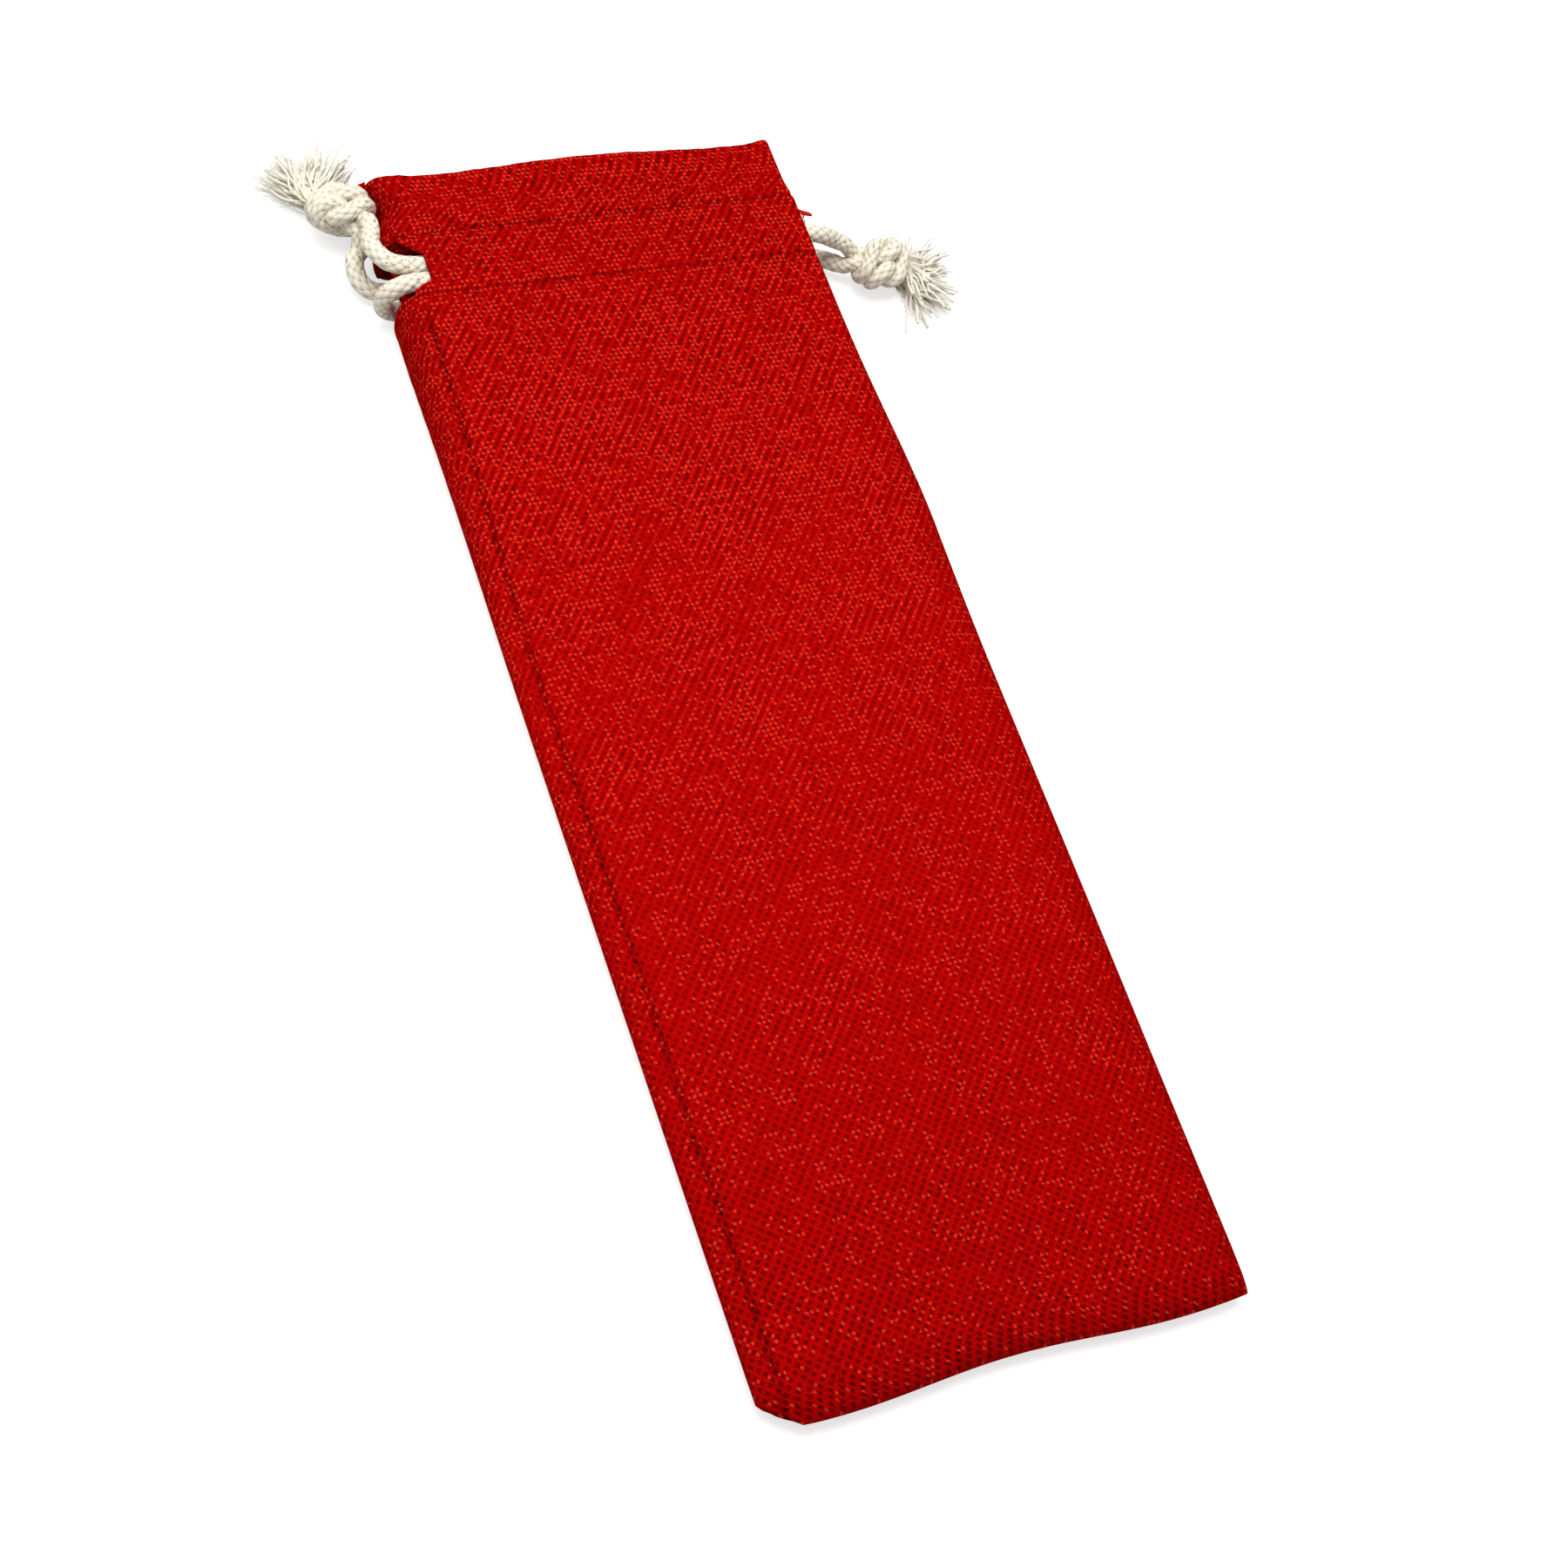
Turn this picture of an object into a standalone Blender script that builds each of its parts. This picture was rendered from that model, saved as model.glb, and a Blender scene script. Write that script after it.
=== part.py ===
"""Kinchaku drawstring pouch: a long flat cloth pouch with a double drawstring.

The pouch lies on its back on z = 0, with its mouth at +Y and its width along X. Below the mouth the
cloth is sewn into a casing: two channels, one in the front wall and one in the back wall, that open in
a slit at each side. Each drawcord runs through both channels and ends in a knot at its own side.
"""

import math

import bmesh
import bpy
import numpy as np
from mathutils import Matrix, Vector

# Driving dimensions, in metres
POUCH_WIDTH = 0.090
POUCH_LENGTH = 0.250
CLOTH = 0.0008
BODY_HEIGHT = 0.0090
CORD_DIAMETER = 0.0035
CHANNEL_CLEARANCE = 0.0003
NECK_GAP = 0.0044
FRILL = 0.0146
CASING = 0.0140
MOUTH_SETBACK = 0.0070
TOUCH_GAP = 0.0003

# The pouch's edges
PUFF_BODY = 0.0100
PUFF_CASING_LEFT = 0.0050
PUFF_CASING_RIGHT = 0.0015
PUFF_MOUTH_LEFT = 0.0050
PUFF_MOUTH_RIGHT = 0.0022
PUFF_BOTTOM = 0.0090
KNOT_DENT = 0.0036
KNOT_DENT_Y = 0.1105
KNOT_DENT_HALF = 0.0105
MOUTH_DRAW_RIGHT = 0.0044
CASING_DRAW_RIGHT = 0.0054
FLAT_UNDERSIDE = 1.35
LEFT_CORNER_CUT = 0.0060
LEFT_CORNER_RUN = 0.0050
RIGHT_CORNER_CUT = 0.0012
SIDE_SEAM_INSET = 0.0036
SEAM_GROOVE = 0.0005
SEAM_GROOVE_HALF = 0.0008
MOUTH_WAVE = 0.0006
BOTTOM_WAVE = 0.0008
WAVE_PITCH = 0.063
SOFT_RIPPLE = 0.00025

# The casing: how much nearer the outside its two seams lie than the middle of its channels
SEAM_RISE = 0.0016
FRILL_DROP = 0.0019
NECK_SLOPE = 0.090

# The slits: how far in from the pouch's side edge each channel's outer cloth ends
FRONT_LIP_LEFT = 0.0065
FRONT_LIP_RIGHT = 0.0011
BACK_LIP_LEFT = 0.0045
BACK_LIP_RIGHT = 0.0018
FRONT_LEFT_LIP_ENDS = (-0.66, 0.40)
SLIT_MARGIN = 0.0004
SLIT_FULL_WIDTH = 0.0022

# The knots and frayed ends
KNOT_STRAND = 0.00275
KNOT_RADIUS = 0.00155
KNOT_STUB = 0.0012
KNOT_BODY = 1.6
KNOT_REACH = 2.3
LEG_STUB = 0.0020
LEG_LIFT = 0.0009
LEG_TURN = 0.7
FRAY_THICK = 0.0050
FRAY_RIM = 0.0010
FRAY_RIB = 0.00022
FRAY_LIFT = 0.0002
FAN_ROOT_WIDTH = 0.0036
FAN_RIBS = 8
FAN_RINGS = 6

# Worked out from the driving dimensions
HALF_WIDTH = POUCH_WIDTH / 2
BOTTOM_Y = -POUCH_LENGTH / 2
MOUTH_Y = POUCH_LENGTH / 2 - MOUTH_SETBACK
UPPER_SEAM_Y = MOUTH_Y - FRILL
LOWER_SEAM_Y = UPPER_SEAM_Y - CASING
CASING_Y = (UPPER_SEAM_Y + LOWER_SEAM_Y) / 2
CHANNEL_HALF = CORD_DIAMETER / 2 + CHANNEL_CLEARANCE
BACK_CORD_Z = CLOTH + CHANNEL_HALF
NECK_LOW_Z = BACK_CORD_Z + CHANNEL_HALF + CLOTH
NECK_HIGH_Z = NECK_LOW_Z + NECK_GAP
FRONT_CORD_Z = NECK_HIGH_Z + CLOTH + CHANNEL_HALF
CASING_HEIGHT = FRONT_CORD_Z + CHANNEL_HALF + CLOTH
HEM = 2 * CLOTH

# How far in from the edge the points of a cross-section lie, on the left and on the right
LEFT_INSETS = [0, 0.25, 0.9, 1.9, 2.8, 3.6, 4.4, 6, 8.5, 12, 18, 26, 35]
RIGHT_INSETS = [0, 0.25, 0.9, 1.9, 3.2, 5, 7.5, 11, 16, 23, 32]


def smooth(value, low, high):
    """0 below low, 1 above high, and a smooth curve between them."""
    t = min(1.0, max(0.0, (value - low) / (high - low)))
    return t * t * (3 - 2 * t)


def blend(a, b, share):
    return a + (b - a) * share


def casing_bulge(y, margin=0.0):
    """How far the casing is filled by its cords at this y: 0 at its two seams and 1 in the middle."""
    reach = abs(y - CASING_Y) / (CASING / 2 - margin)
    return math.sqrt(max(0.0, 1 - reach**6))


def lean(y, z):
    """The back wall runs on further towards the mouth than the front wall, above the casing's lower seam."""
    ramp = max(0.0, (y - LOWER_SEAM_Y) / (MOUTH_Y - LOWER_SEAM_Y))
    return y + MOUTH_SETBACK * ramp * (1 - z / CASING_HEIGHT)


def channel_height(y, cord_z, outward, margin=0.0):
    """Height of the middle of a channel: it rises towards the outside at the casing's two seams."""
    return cord_z + outward * SEAM_RISE * (1 - casing_bulge(y, margin))


def front_height(y):
    """Height of the front wall's outer face in the middle of the pouch."""
    seam = FRONT_CORD_Z + SEAM_RISE + CLOTH
    if y >= UPPER_SEAM_Y:
        return seam - FRILL_DROP * smooth(y, UPPER_SEAM_Y, MOUTH_Y)
    if y >= LOWER_SEAM_Y:
        return channel_height(y, FRONT_CORD_Z, 1) + CLOTH + CHANNEL_HALF * casing_bulge(y)
    body = BODY_HEIGHT * (1.0 - 0.07 * smooth(-y, 0.0, 0.11))
    return blend(body, seam, smooth(y, LOWER_SEAM_Y - NECK_SLOPE, LOWER_SEAM_Y))


def back_height(y):
    """Height of the back wall's outer face in the middle of the pouch."""
    seam = BACK_CORD_Z - SEAM_RISE - CLOTH
    if y >= UPPER_SEAM_Y:
        return seam * (1 - smooth(y, UPPER_SEAM_Y, UPPER_SEAM_Y + 0.009))
    if y >= LOWER_SEAM_Y:
        return channel_height(y, BACK_CORD_Z, -1) - CLOTH - CHANNEL_HALF * casing_bulge(y)
    return seam * (1 - smooth(-y, -LOWER_SEAM_Y, -LOWER_SEAM_Y + 0.008))


def wall(y):
    """Thickness of the front and back walls: hem, casing with its channel, or one cloth."""
    if y >= UPPER_SEAM_Y:
        return HEM
    if y >= LOWER_SEAM_Y:
        return HEM + 2 * CHANNEL_HALF * casing_bulge(y)
    return blend(CLOTH, HEM, smooth(y, LOWER_SEAM_Y - 0.0015, LOWER_SEAM_Y))


def left_edge(y):
    """Half the width at the left: straight, with a dent where the knot presses on the side."""
    return HALF_WIDTH - KNOT_DENT * (1 - smooth(abs(y - KNOT_DENT_Y), 0.0, KNOT_DENT_HALF))


def right_edge(y):
    """Half the width at the right, drawn in at the casing."""
    drawn = CASING_DRAW_RIGHT * smooth(y, LOWER_SEAM_Y - 0.060, LOWER_SEAM_Y + 0.004)
    return HALF_WIDTH - drawn + (CASING_DRAW_RIGHT - MOUTH_DRAW_RIGHT) * smooth(y, UPPER_SEAM_Y, MOUTH_Y)


def puffs(y):
    """How wide the rounded edge is at the left and at the right."""
    near = smooth(y, LOWER_SEAM_Y - 0.060, LOWER_SEAM_Y)
    frill = smooth(y, UPPER_SEAM_Y, UPPER_SEAM_Y + 0.005)
    left = blend(blend(PUFF_BODY, PUFF_CASING_LEFT, near), PUFF_MOUTH_LEFT, frill)
    right = blend(blend(PUFF_BODY, PUFF_CASING_RIGHT, near), PUFF_MOUTH_RIGHT, frill)
    return left, right


def rounding(inset, puff):
    """Height share of a rounded edge at this inset, from 0 on the edge to 1 past the puff."""
    if inset >= puff:
        return 1.0
    return math.sqrt(1 - ((puff - inset) / puff) ** 2)


def edge_wave(x, y):
    """The cut and folded ends aren't straight: a slow wave along the mouth and along the bottom."""
    mouth = MOUTH_WAVE * math.cos(2 * math.pi * x / WAVE_PITCH) * smooth(y, UPPER_SEAM_Y + 0.002, MOUTH_Y)
    bottom = BOTTOM_WAVE * math.cos(2 * math.pi * x / WAVE_PITCH) * smooth(-y, 0.108, -BOTTOM_Y)
    return mouth + bottom


def ripple(x, y):
    """Slow unevenness of the cloth over the body, none in the casing or at the ends."""
    share = smooth(-y, -LOWER_SEAM_Y + 0.004, -LOWER_SEAM_Y + 0.03) * smooth(y, BOTTOM_Y + 0.006, BOTTOM_Y + 0.03)
    waves = math.sin(95 * x + 41 * y + 0.6) + 0.7 * math.sin(-60 * x + 83 * y + 2.1)
    return SOFT_RIPPLE * share * waves


def section(y, inner):
    """One ring of points across the pouch: along the front from left to right, and back along the underside."""
    side = blend(CLOTH, HEM, smooth(y, UPPER_SEAM_Y - 0.001, UPPER_SEAM_Y + 0.001)) if inner else 0.0
    end = BOTTOM_Y + (CLOTH if inner else 0.0)
    run = PUFF_BOTTOM - (CLOTH if inner else 0.0)
    fullness = max(0.12, math.sqrt(max(0.0, 1 - max(0.0, (end + run - y) / run) ** 2)))
    corner = min(1.0, max(0.0, (end + LEFT_CORNER_RUN - y) / LEFT_CORNER_RUN))
    rounded = 1 - math.sqrt(1 - corner**2)
    left = left_edge(y) - side - LEFT_CORNER_CUT * rounded
    right = right_edge(y) - side - RIGHT_CORNER_CUT * rounded
    puff_left, puff_right = (max(0.0006, puff - side) for puff in puffs(y))
    thick = wall(y) if inner else 0.0
    top = front_height(y) - thick
    low = back_height(y) + thick
    middle = (front_height(y) + back_height(y)) / 2
    insets = [(-left + d / 1000, rounding(d / 1000, puff_left)) for d in LEFT_INSETS]
    centre = (-left + LEFT_INSETS[-1] / 1000 + right - RIGHT_INSETS[-1] / 1000) / 2
    insets.append((centre, 1.0))
    insets += [(right - d / 1000, rounding(d / 1000, puff_right)) for d in reversed(RIGHT_INSETS)]
    seam_x = -left_edge(y) + SIDE_SEAM_INSET
    front = []
    for x, share in insets:
        groove = SEAM_GROOVE * max(0.0, 1 - abs(x - seam_x) / SEAM_GROOVE_HALF)
        groove *= smooth(-y, -LOWER_SEAM_Y, -LOWER_SEAM_Y + 0.004) * smooth(y, BOTTOM_Y, BOTTOM_Y + 0.006)
        z = middle + (top - middle + ripple(x, y)) * share * fullness - groove
        front.append(Vector((x, lean(y, z) + edge_wave(x, y), z)))
    back = []
    for x, share in insets[1:-1]:
        z = middle - (middle - low) * min(1.0, FLAT_UNDERSIDE * share) * fullness
        back.append(Vector((x, lean(y, z) + edge_wave(x, y), z)))
    return front + back[::-1]


def stations():
    """Places along the pouch, from the mouth to the bottom, close together where the form turns."""
    mouth = [MOUTH_Y - d / 1000 for d in (0.5, 2, 5, 9, 12.5, 14.3)]
    casing = [CASING_Y + CASING / 2 * share for share in (1, 0.93, 0.82, 0.66, 0.4, 0, -0.4, -0.66, -0.82, -0.93, -1)]
    neck = [LOWER_SEAM_Y - d / 1000 for d in (0.7, 1.5, 3.5, 7, 12, 19, 28, 40, 54, 70, 90)]
    middle_end = BOTTOM_Y + 0.030
    body = [blend(neck[-1], middle_end, share) for share in (0.2, 0.4, 0.6, 0.8, 1.0)]
    return mouth + casing + neck + body


def bottom_stations(end):
    return [end + d / 1000 for d in (20, 14, 9, 6.5, 4.4, 2.7, 1.3, 0.4, 0.0)]


def add_ring(mesh, points):
    return [mesh.verts.new(point) for point in points]


def join_rings(mesh, one, two, flip=False):
    count = len(one)
    for i in range(count):
        j = (i + 1) % count
        face = [one[i], one[j], two[j], two[i]]
        mesh.faces.new(face[::-1] if flip else face)


def close_fold(mesh, ring, flip=False):
    """Closes the last ring along the bottom fold, front point to back point."""
    half = len(LEFT_INSETS) + len(RIGHT_INSETS) + 1
    front = ring[:half]
    back = [front[0]] + ring[half:][::-1] + [front[-1]]
    for i in range(half - 1):
        face = [front[i], front[i + 1], back[i + 1], back[i]]
        face = list(dict.fromkeys(face))
        mesh.faces.new(face[::-1] if flip else face)


def material(name, colour, roughness):
    """A plain cloth or cotton finish."""
    made = bpy.data.materials.new(name)
    made.use_nodes = True
    shader = made.node_tree.nodes["Principled BSDF"]
    shader.inputs["Base Color"].default_value = (*colour, 1.0)
    shader.inputs["Roughness"].default_value = roughness
    shader.inputs["Metallic"].default_value = 0.0
    return made


def place(name, mesh, finish):
    """Makes an object of a bmesh, with its faces pointing out."""
    bmesh.ops.recalc_face_normals(mesh, faces=mesh.faces)
    data = bpy.data.meshes.new(name)
    mesh.to_mesh(data)
    mesh.free()
    data.shade_smooth()
    data.set_sharp_from_angle(angle=math.radians(50))
    obj = bpy.data.objects.new(name, data)
    bpy.context.scene.collection.objects.link(obj)
    if finish:
        data.materials.append(finish)
    return obj


def cutter(name, mesh):
    obj = place(name, mesh, None)
    obj.hide_render = True
    obj.display_type = "WIRE"
    return obj


def channel_cutter(name, cord_z, outward):
    """The space that one wall's two cords run in, right across the pouch, pointed at its two seams."""
    mesh = bmesh.new()
    shares = [math.cos(math.pi * i / 8) for i in range(9)]
    margin = CLOTH
    reach = CASING / 2 - margin
    places = [CASING_Y + reach * share for share in shares]
    middles = [channel_height(y, cord_z, outward, margin) for y in places]
    halves = [CHANNEL_HALF * casing_bulge(y, margin) for y in places]
    upper = [(y, z + half) for y, z, half in zip(places, middles, halves)]
    lower = [(y, z - half) for y, z, half in zip(places, middles, halves)]
    outline = upper + lower[-2:0:-1]
    rings = []
    for x in (-POUCH_WIDTH, POUCH_WIDTH):
        rings.append(add_ring(mesh, [Vector((x, lean(y, z), z)) for y, z in outline]))
    join_rings(mesh, rings[0], rings[1])
    mesh.faces.new(rings[0])
    mesh.faces.new(rings[1][::-1])
    return cutter(name, mesh)


def slit_cutter(name, side, lip, z_range, lip_ends=(-0.9, 0.9)):
    """Takes a channel's outer cloth away up to its lip, between the casing's two seams.

    The side edge is at x = side, the lip is that far inside it, and lip_ends says where the lip starts
    and ends, as shares of the slit's half length.
    """
    mesh = bmesh.new()
    outward = math.copysign(1, side)
    far = side + outward * POUCH_WIDTH / 2
    near = side - outward * min(SLIT_FULL_WIDTH, lip / 2)
    deep = side - outward * lip
    outline = [(far, -1), (near, -1), (deep, lip_ends[0]), (deep, lip_ends[1]), (near, 1), (far, 1)]
    reach = CASING / 2 - CLOTH - SLIT_MARGIN
    rings = []
    for z in z_range:
        rings.append(add_ring(mesh, [Vector((x, lean(CASING_Y + reach * share, z), z)) for x, share in outline]))
    join_rings(mesh, rings[0], rings[1])
    mesh.faces.new(rings[0])
    mesh.faces.new(rings[1][::-1])
    return cutter(name, mesh)


def make_pouch(finish):
    """The sewn cloth: an outer and an inner face, joined round the mouth and each folded at the bottom."""
    mesh = bmesh.new()
    outer = [add_ring(mesh, section(y, False)) for y in stations() + bottom_stations(BOTTOM_Y)]
    inner = [add_ring(mesh, section(y, True)) for y in stations() + bottom_stations(BOTTOM_Y + CLOTH)]
    for one, two in zip(outer, outer[1:]):
        join_rings(mesh, one, two)
    for one, two in zip(inner, inner[1:]):
        join_rings(mesh, one, two, flip=True)
    close_fold(mesh, outer[-1], flip=True)
    close_fold(mesh, inner[-1])
    hem = []
    for out, into in zip(outer[0], inner[0]):
        middle = (out.co + into.co) / 2
        hem.append(middle + Vector((0, MOUTH_Y - stations()[0], 0)))
    hem_ring = add_ring(mesh, hem)
    join_rings(mesh, hem_ring, outer[0])
    join_rings(mesh, inner[0], hem_ring)
    pouch = place("pouch_body", mesh, finish)
    left, right = -left_edge(CASING_Y), right_edge(CASING_Y)
    front = (FRONT_CORD_Z, 2 * CASING_HEIGHT)
    back = (-CASING_HEIGHT, BACK_CORD_Z)
    cutters = [
        channel_cutter("front_channel_cutter", FRONT_CORD_Z, 1),
        channel_cutter("back_channel_cutter", BACK_CORD_Z, -1),
        slit_cutter("front_left_slit_cutter", left, FRONT_LIP_LEFT, front, FRONT_LEFT_LIP_ENDS),
        slit_cutter("front_right_slit_cutter", right, FRONT_LIP_RIGHT, front),
        slit_cutter("back_left_slit_cutter", left, BACK_LIP_LEFT, back),
        slit_cutter("back_right_slit_cutter", right, BACK_LIP_RIGHT, back),
    ]
    for shape in cutters:
        cut = pouch.modifiers.new(shape.name, "BOOLEAN")
        cut.operation = "DIFFERENCE"
        cut.solver = "EXACT"
        cut.object = shape
    return pouch


def smooth_path(points, per_span):
    """A smooth curve through hand-placed points, its direction at each set by the points beside it."""
    knots = [Vector(p) for p in points]
    slopes = []
    for before, here, after in zip([knots[0]] + knots, knots, knots[1:] + [knots[-1]]):
        slopes.append((after - before) / ((here - before).length + (after - here).length))
    path = []
    for start, end, slope, next_slope in zip(knots, knots[1:], slopes, slopes[1:]):
        span = (end - start).length
        for i in range(per_span):
            t = i / per_span
            bend = slope * (t**3 - 2 * t**2 + t) + next_slope * (t**3 - t**2)
            path.append(start.lerp(end, 3 * t**2 - 2 * t**3) + bend * span)
    path.append(knots[-1])
    return path


def make_cord(name, points, finish):
    """One drawcord, from its knot through both channels and back to the knot."""
    data = bpy.data.curves.new(name, "CURVE")
    data.dimensions = "3D"
    data.bevel_depth = CORD_DIAMETER / 2
    data.bevel_resolution = 2
    data.use_fill_caps = True
    path = smooth_path(points, 3)
    spline = data.splines.new("POLY")
    spline.points.add(len(path) - 1)
    for point, place_at in zip(spline.points, path):
        point.co = (*place_at, 1.0)
    data.materials.append(finish)
    obj = bpy.data.objects.new(name, data)
    bpy.context.scene.collection.objects.link(obj)
    return obj


def long_overhand(count):
    """An open overhand knot, loose, as a polynomial curve in cord diameters."""
    t = np.linspace(-2.25, 2.25, 4000)
    curve = np.stack([1.9 * (t**3 - 3 * t), 1.18 * (t**4 - 4 * t**2 + 2), (10 * t - t**5) / 6], 1)
    walked = np.concatenate([[0], np.cumsum(np.linalg.norm(np.diff(curve, axis=0), axis=1))])
    even = np.linspace(0, walked[-1], count)
    return np.stack([np.interp(even, walked, curve[:, k]) for k in range(3)], 1)


def tight_knot(count=70, pulls=800):
    """Two strands side by side, tied in one overhand knot and pulled tight along X, in strand diameters.

    Each strand is a chain of points. Its ends are pulled apart in small steps, and after each step the
    spacing, the stiffness and the distance between strands that touch are put right.
    """
    centre = long_overhand(count)
    along = np.gradient(centre, axis=0) * [1, 1, 0]
    along /= np.linalg.norm(along, axis=1)[:, None]
    across = 0.52 * np.stack([-along[:, 1], along[:, 0], 0 * along[:, 0]], 1)
    strands = np.stack([centre + across, centre - across])
    rest = np.linalg.norm(np.diff(strands, axis=1), axis=2).sum(1)[:, None] / (count - 1)
    strand, place_in = np.divmod(np.arange(2 * count), count)
    neighbours = np.abs(place_in[:, None] - place_in[None]) * rest.mean() < 1.5
    neighbours &= strand[:, None] == strand[None]
    first, second = np.triu_indices(2 * count, 1)
    apart = ~neighbours[first, second]
    first, second = first[apart], second[apart]
    for _ in range(pulls):
        if (np.linalg.norm(np.diff(strands, axis=1), axis=2) / rest).mean() < 1.01:
            strands[:, 0, 0] -= 0.03
            strands[:, -1, 0] += 0.03
        strands[:, [0, -1], 1:] *= 0.97
        for end in (0, -1):
            middle = strands[:, end].mean(0)
            spread = strands[0, end] - strands[1, end]
            spread *= 0.51 / np.linalg.norm(spread)
            strands[0, end], strands[1, end] = middle + spread, middle - spread
        held = strands[:, [0, -1]].copy()
        for _ in range(5):
            strands[:, 1:-1] += 0.12 * ((strands[:, :-2] + strands[:, 2:]) / 2 - strands[:, 1:-1])
            step = np.diff(strands, axis=1)
            length = np.linalg.norm(step, axis=2)
            fix = (0.45 * (length - rest) / length)[..., None] * step
            strands[:, :-1] += fix
            strands[:, 1:] -= fix
            points = strands.reshape(-1, 3)
            gap = points[first] - points[second]
            distance = np.linalg.norm(gap, axis=1)
            close = distance < 0.95
            push = (0.5 * (0.95 - distance[close]) / np.maximum(distance[close], 1e-6))[:, None] * gap[close]
            moved = np.zeros_like(points)
            hits = np.zeros(len(points))
            np.add.at(moved, first[close], push)
            np.add.at(moved, second[close], -push)
            np.add.at(hits, first[close], 1)
            np.add.at(hits, second[close], 1)
            strands = (points + 1.3 * moved / np.maximum(hits, 1)[:, None]).reshape(2, count, 3)
            strands[:, [0, -1]] = held
    return strands


# The knots: the middle of each, which way it runs from its legs to its frayed ends, its roll and tilt,
# and which of its two strands goes to the front channel
LEFT_KNOT = {"centre": (-0.0486, 0.1158, 0.0076), "heading": 128, "roll": 270, "tilt": -18, "over": 1}
RIGHT_KNOT = {"centre": (0.0563, 0.0919, 0.0053), "heading": -8, "roll": 300, "tilt": -14, "over": 0}

# The fans of frayed cord: the middle direction, the half spread and the reach in the middle
LEFT_FAN = {"heading": 108, "spread": 66, "reach": 0.0140}
RIGHT_FAN = {"heading": -12, "spread": 74, "reach": 0.0135}


def knot_matrix(knot):
    turn = Matrix.Rotation(math.radians(knot["heading"]), 4, "Z")
    tilt = Matrix.Rotation(math.radians(-knot["tilt"]), 4, "Y")
    roll = Matrix.Rotation(math.radians(knot["roll"]), 4, "X")
    return Matrix.Translation(knot["centre"]) @ turn @ tilt @ roll @ Matrix.Scale(KNOT_STRAND, 4)


def knot_strands(strands, knot, route):
    """The two strands in metres, from the cord's side to the frayed ends.

    Each is led on by a short leg that turns to its own end of the cord's route. One leg is lifted and
    the other lowered, so that the cord's two ends have room beside each other.
    """
    body = strands.reshape(-1, 3)
    body = body[np.abs(body[:, 0]) < KNOT_BODY]
    shift = Vector((body.max(0) + body.min(0)) / 2)
    matrix = knot_matrix(knot)
    placed = []
    for index, strand in enumerate(strands):
        kept = np.flatnonzero(np.abs(strand[:, 0]) < KNOT_REACH)
        path = [matrix @ (Vector(point) - shift) for point in strand[kept[0] : kept[-1] + 1]]
        over = index == knot["over"]
        target = Vector(route[0] if over else route[-1]) / 1000
        own = (path[0] - path[2]).normalized()
        turned = own.lerp((target - path[0]).normalized(), LEG_TURN).normalized()
        leg = path[0] + turned * LEG_STUB
        leg.z += LEG_LIFT if over else -LEG_LIFT
        placed.append([leg] + path)
    return placed


def sweep(mesh, path, radius, sides=10):
    """A closed tube along a path."""
    rings = []
    up = Vector((0, 0, 1))
    for i, point in enumerate(path):
        ahead = (path[min(i + 1, len(path) - 1)] - path[max(i - 1, 0)]).normalized()
        if abs(ahead.dot(up)) > 0.95:
            up = ahead.orthogonal()
        side = ahead.cross(up).normalized()
        up = side.cross(ahead).normalized()
        turns = [2 * math.pi * k / sides for k in range(sides)]
        rings.append(add_ring(mesh, [point + radius * (math.cos(a) * side + math.sin(a) * up) for a in turns]))
    for one, two in zip(rings, rings[1:]):
        join_rings(mesh, one, two)
    mesh.faces.new(rings[0][::-1])
    mesh.faces.new(rings[-1])


def make_knot(name, placed, knot, finish):
    """The knot as one body: its two strands, swept and fused."""
    mesh = bmesh.new()
    for path in placed:
        sweep(mesh, smooth_path(path, 3), KNOT_RADIUS)
    core = Matrix.Translation(knot["centre"])
    bmesh.ops.create_icosphere(mesh, subdivisions=2, radius=KNOT_STRAND * 0.9, matrix=core)
    obj = place(name, mesh, finish)
    fuse = obj.modifiers.new("fuse", "REMESH")
    fuse.mode = "VOXEL"
    fuse.voxel_size = KNOT_STRAND * 0.19
    fuse.use_smooth_shade = True
    thin = obj.modifiers.new("thin", "DECIMATE")
    thin.ratio = 0.45
    return obj


def fan_root(fan, tails):
    """Where the fan starts: a small gap past the cut ends of the knot's two tails."""
    heading = Vector((math.cos(math.radians(fan["heading"])), math.sin(math.radians(fan["heading"])), 0))
    middle = (tails[0][0] + tails[1][0]) / 2
    reach = 0.0
    for end, along in tails:
        rim = KNOT_RADIUS * math.sqrt(max(0.0, 1 - along.dot(heading) ** 2))
        reach = max(reach, (end - middle).dot(heading) + rim)
    return middle + heading * (reach + TOUCH_GAP)


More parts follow.
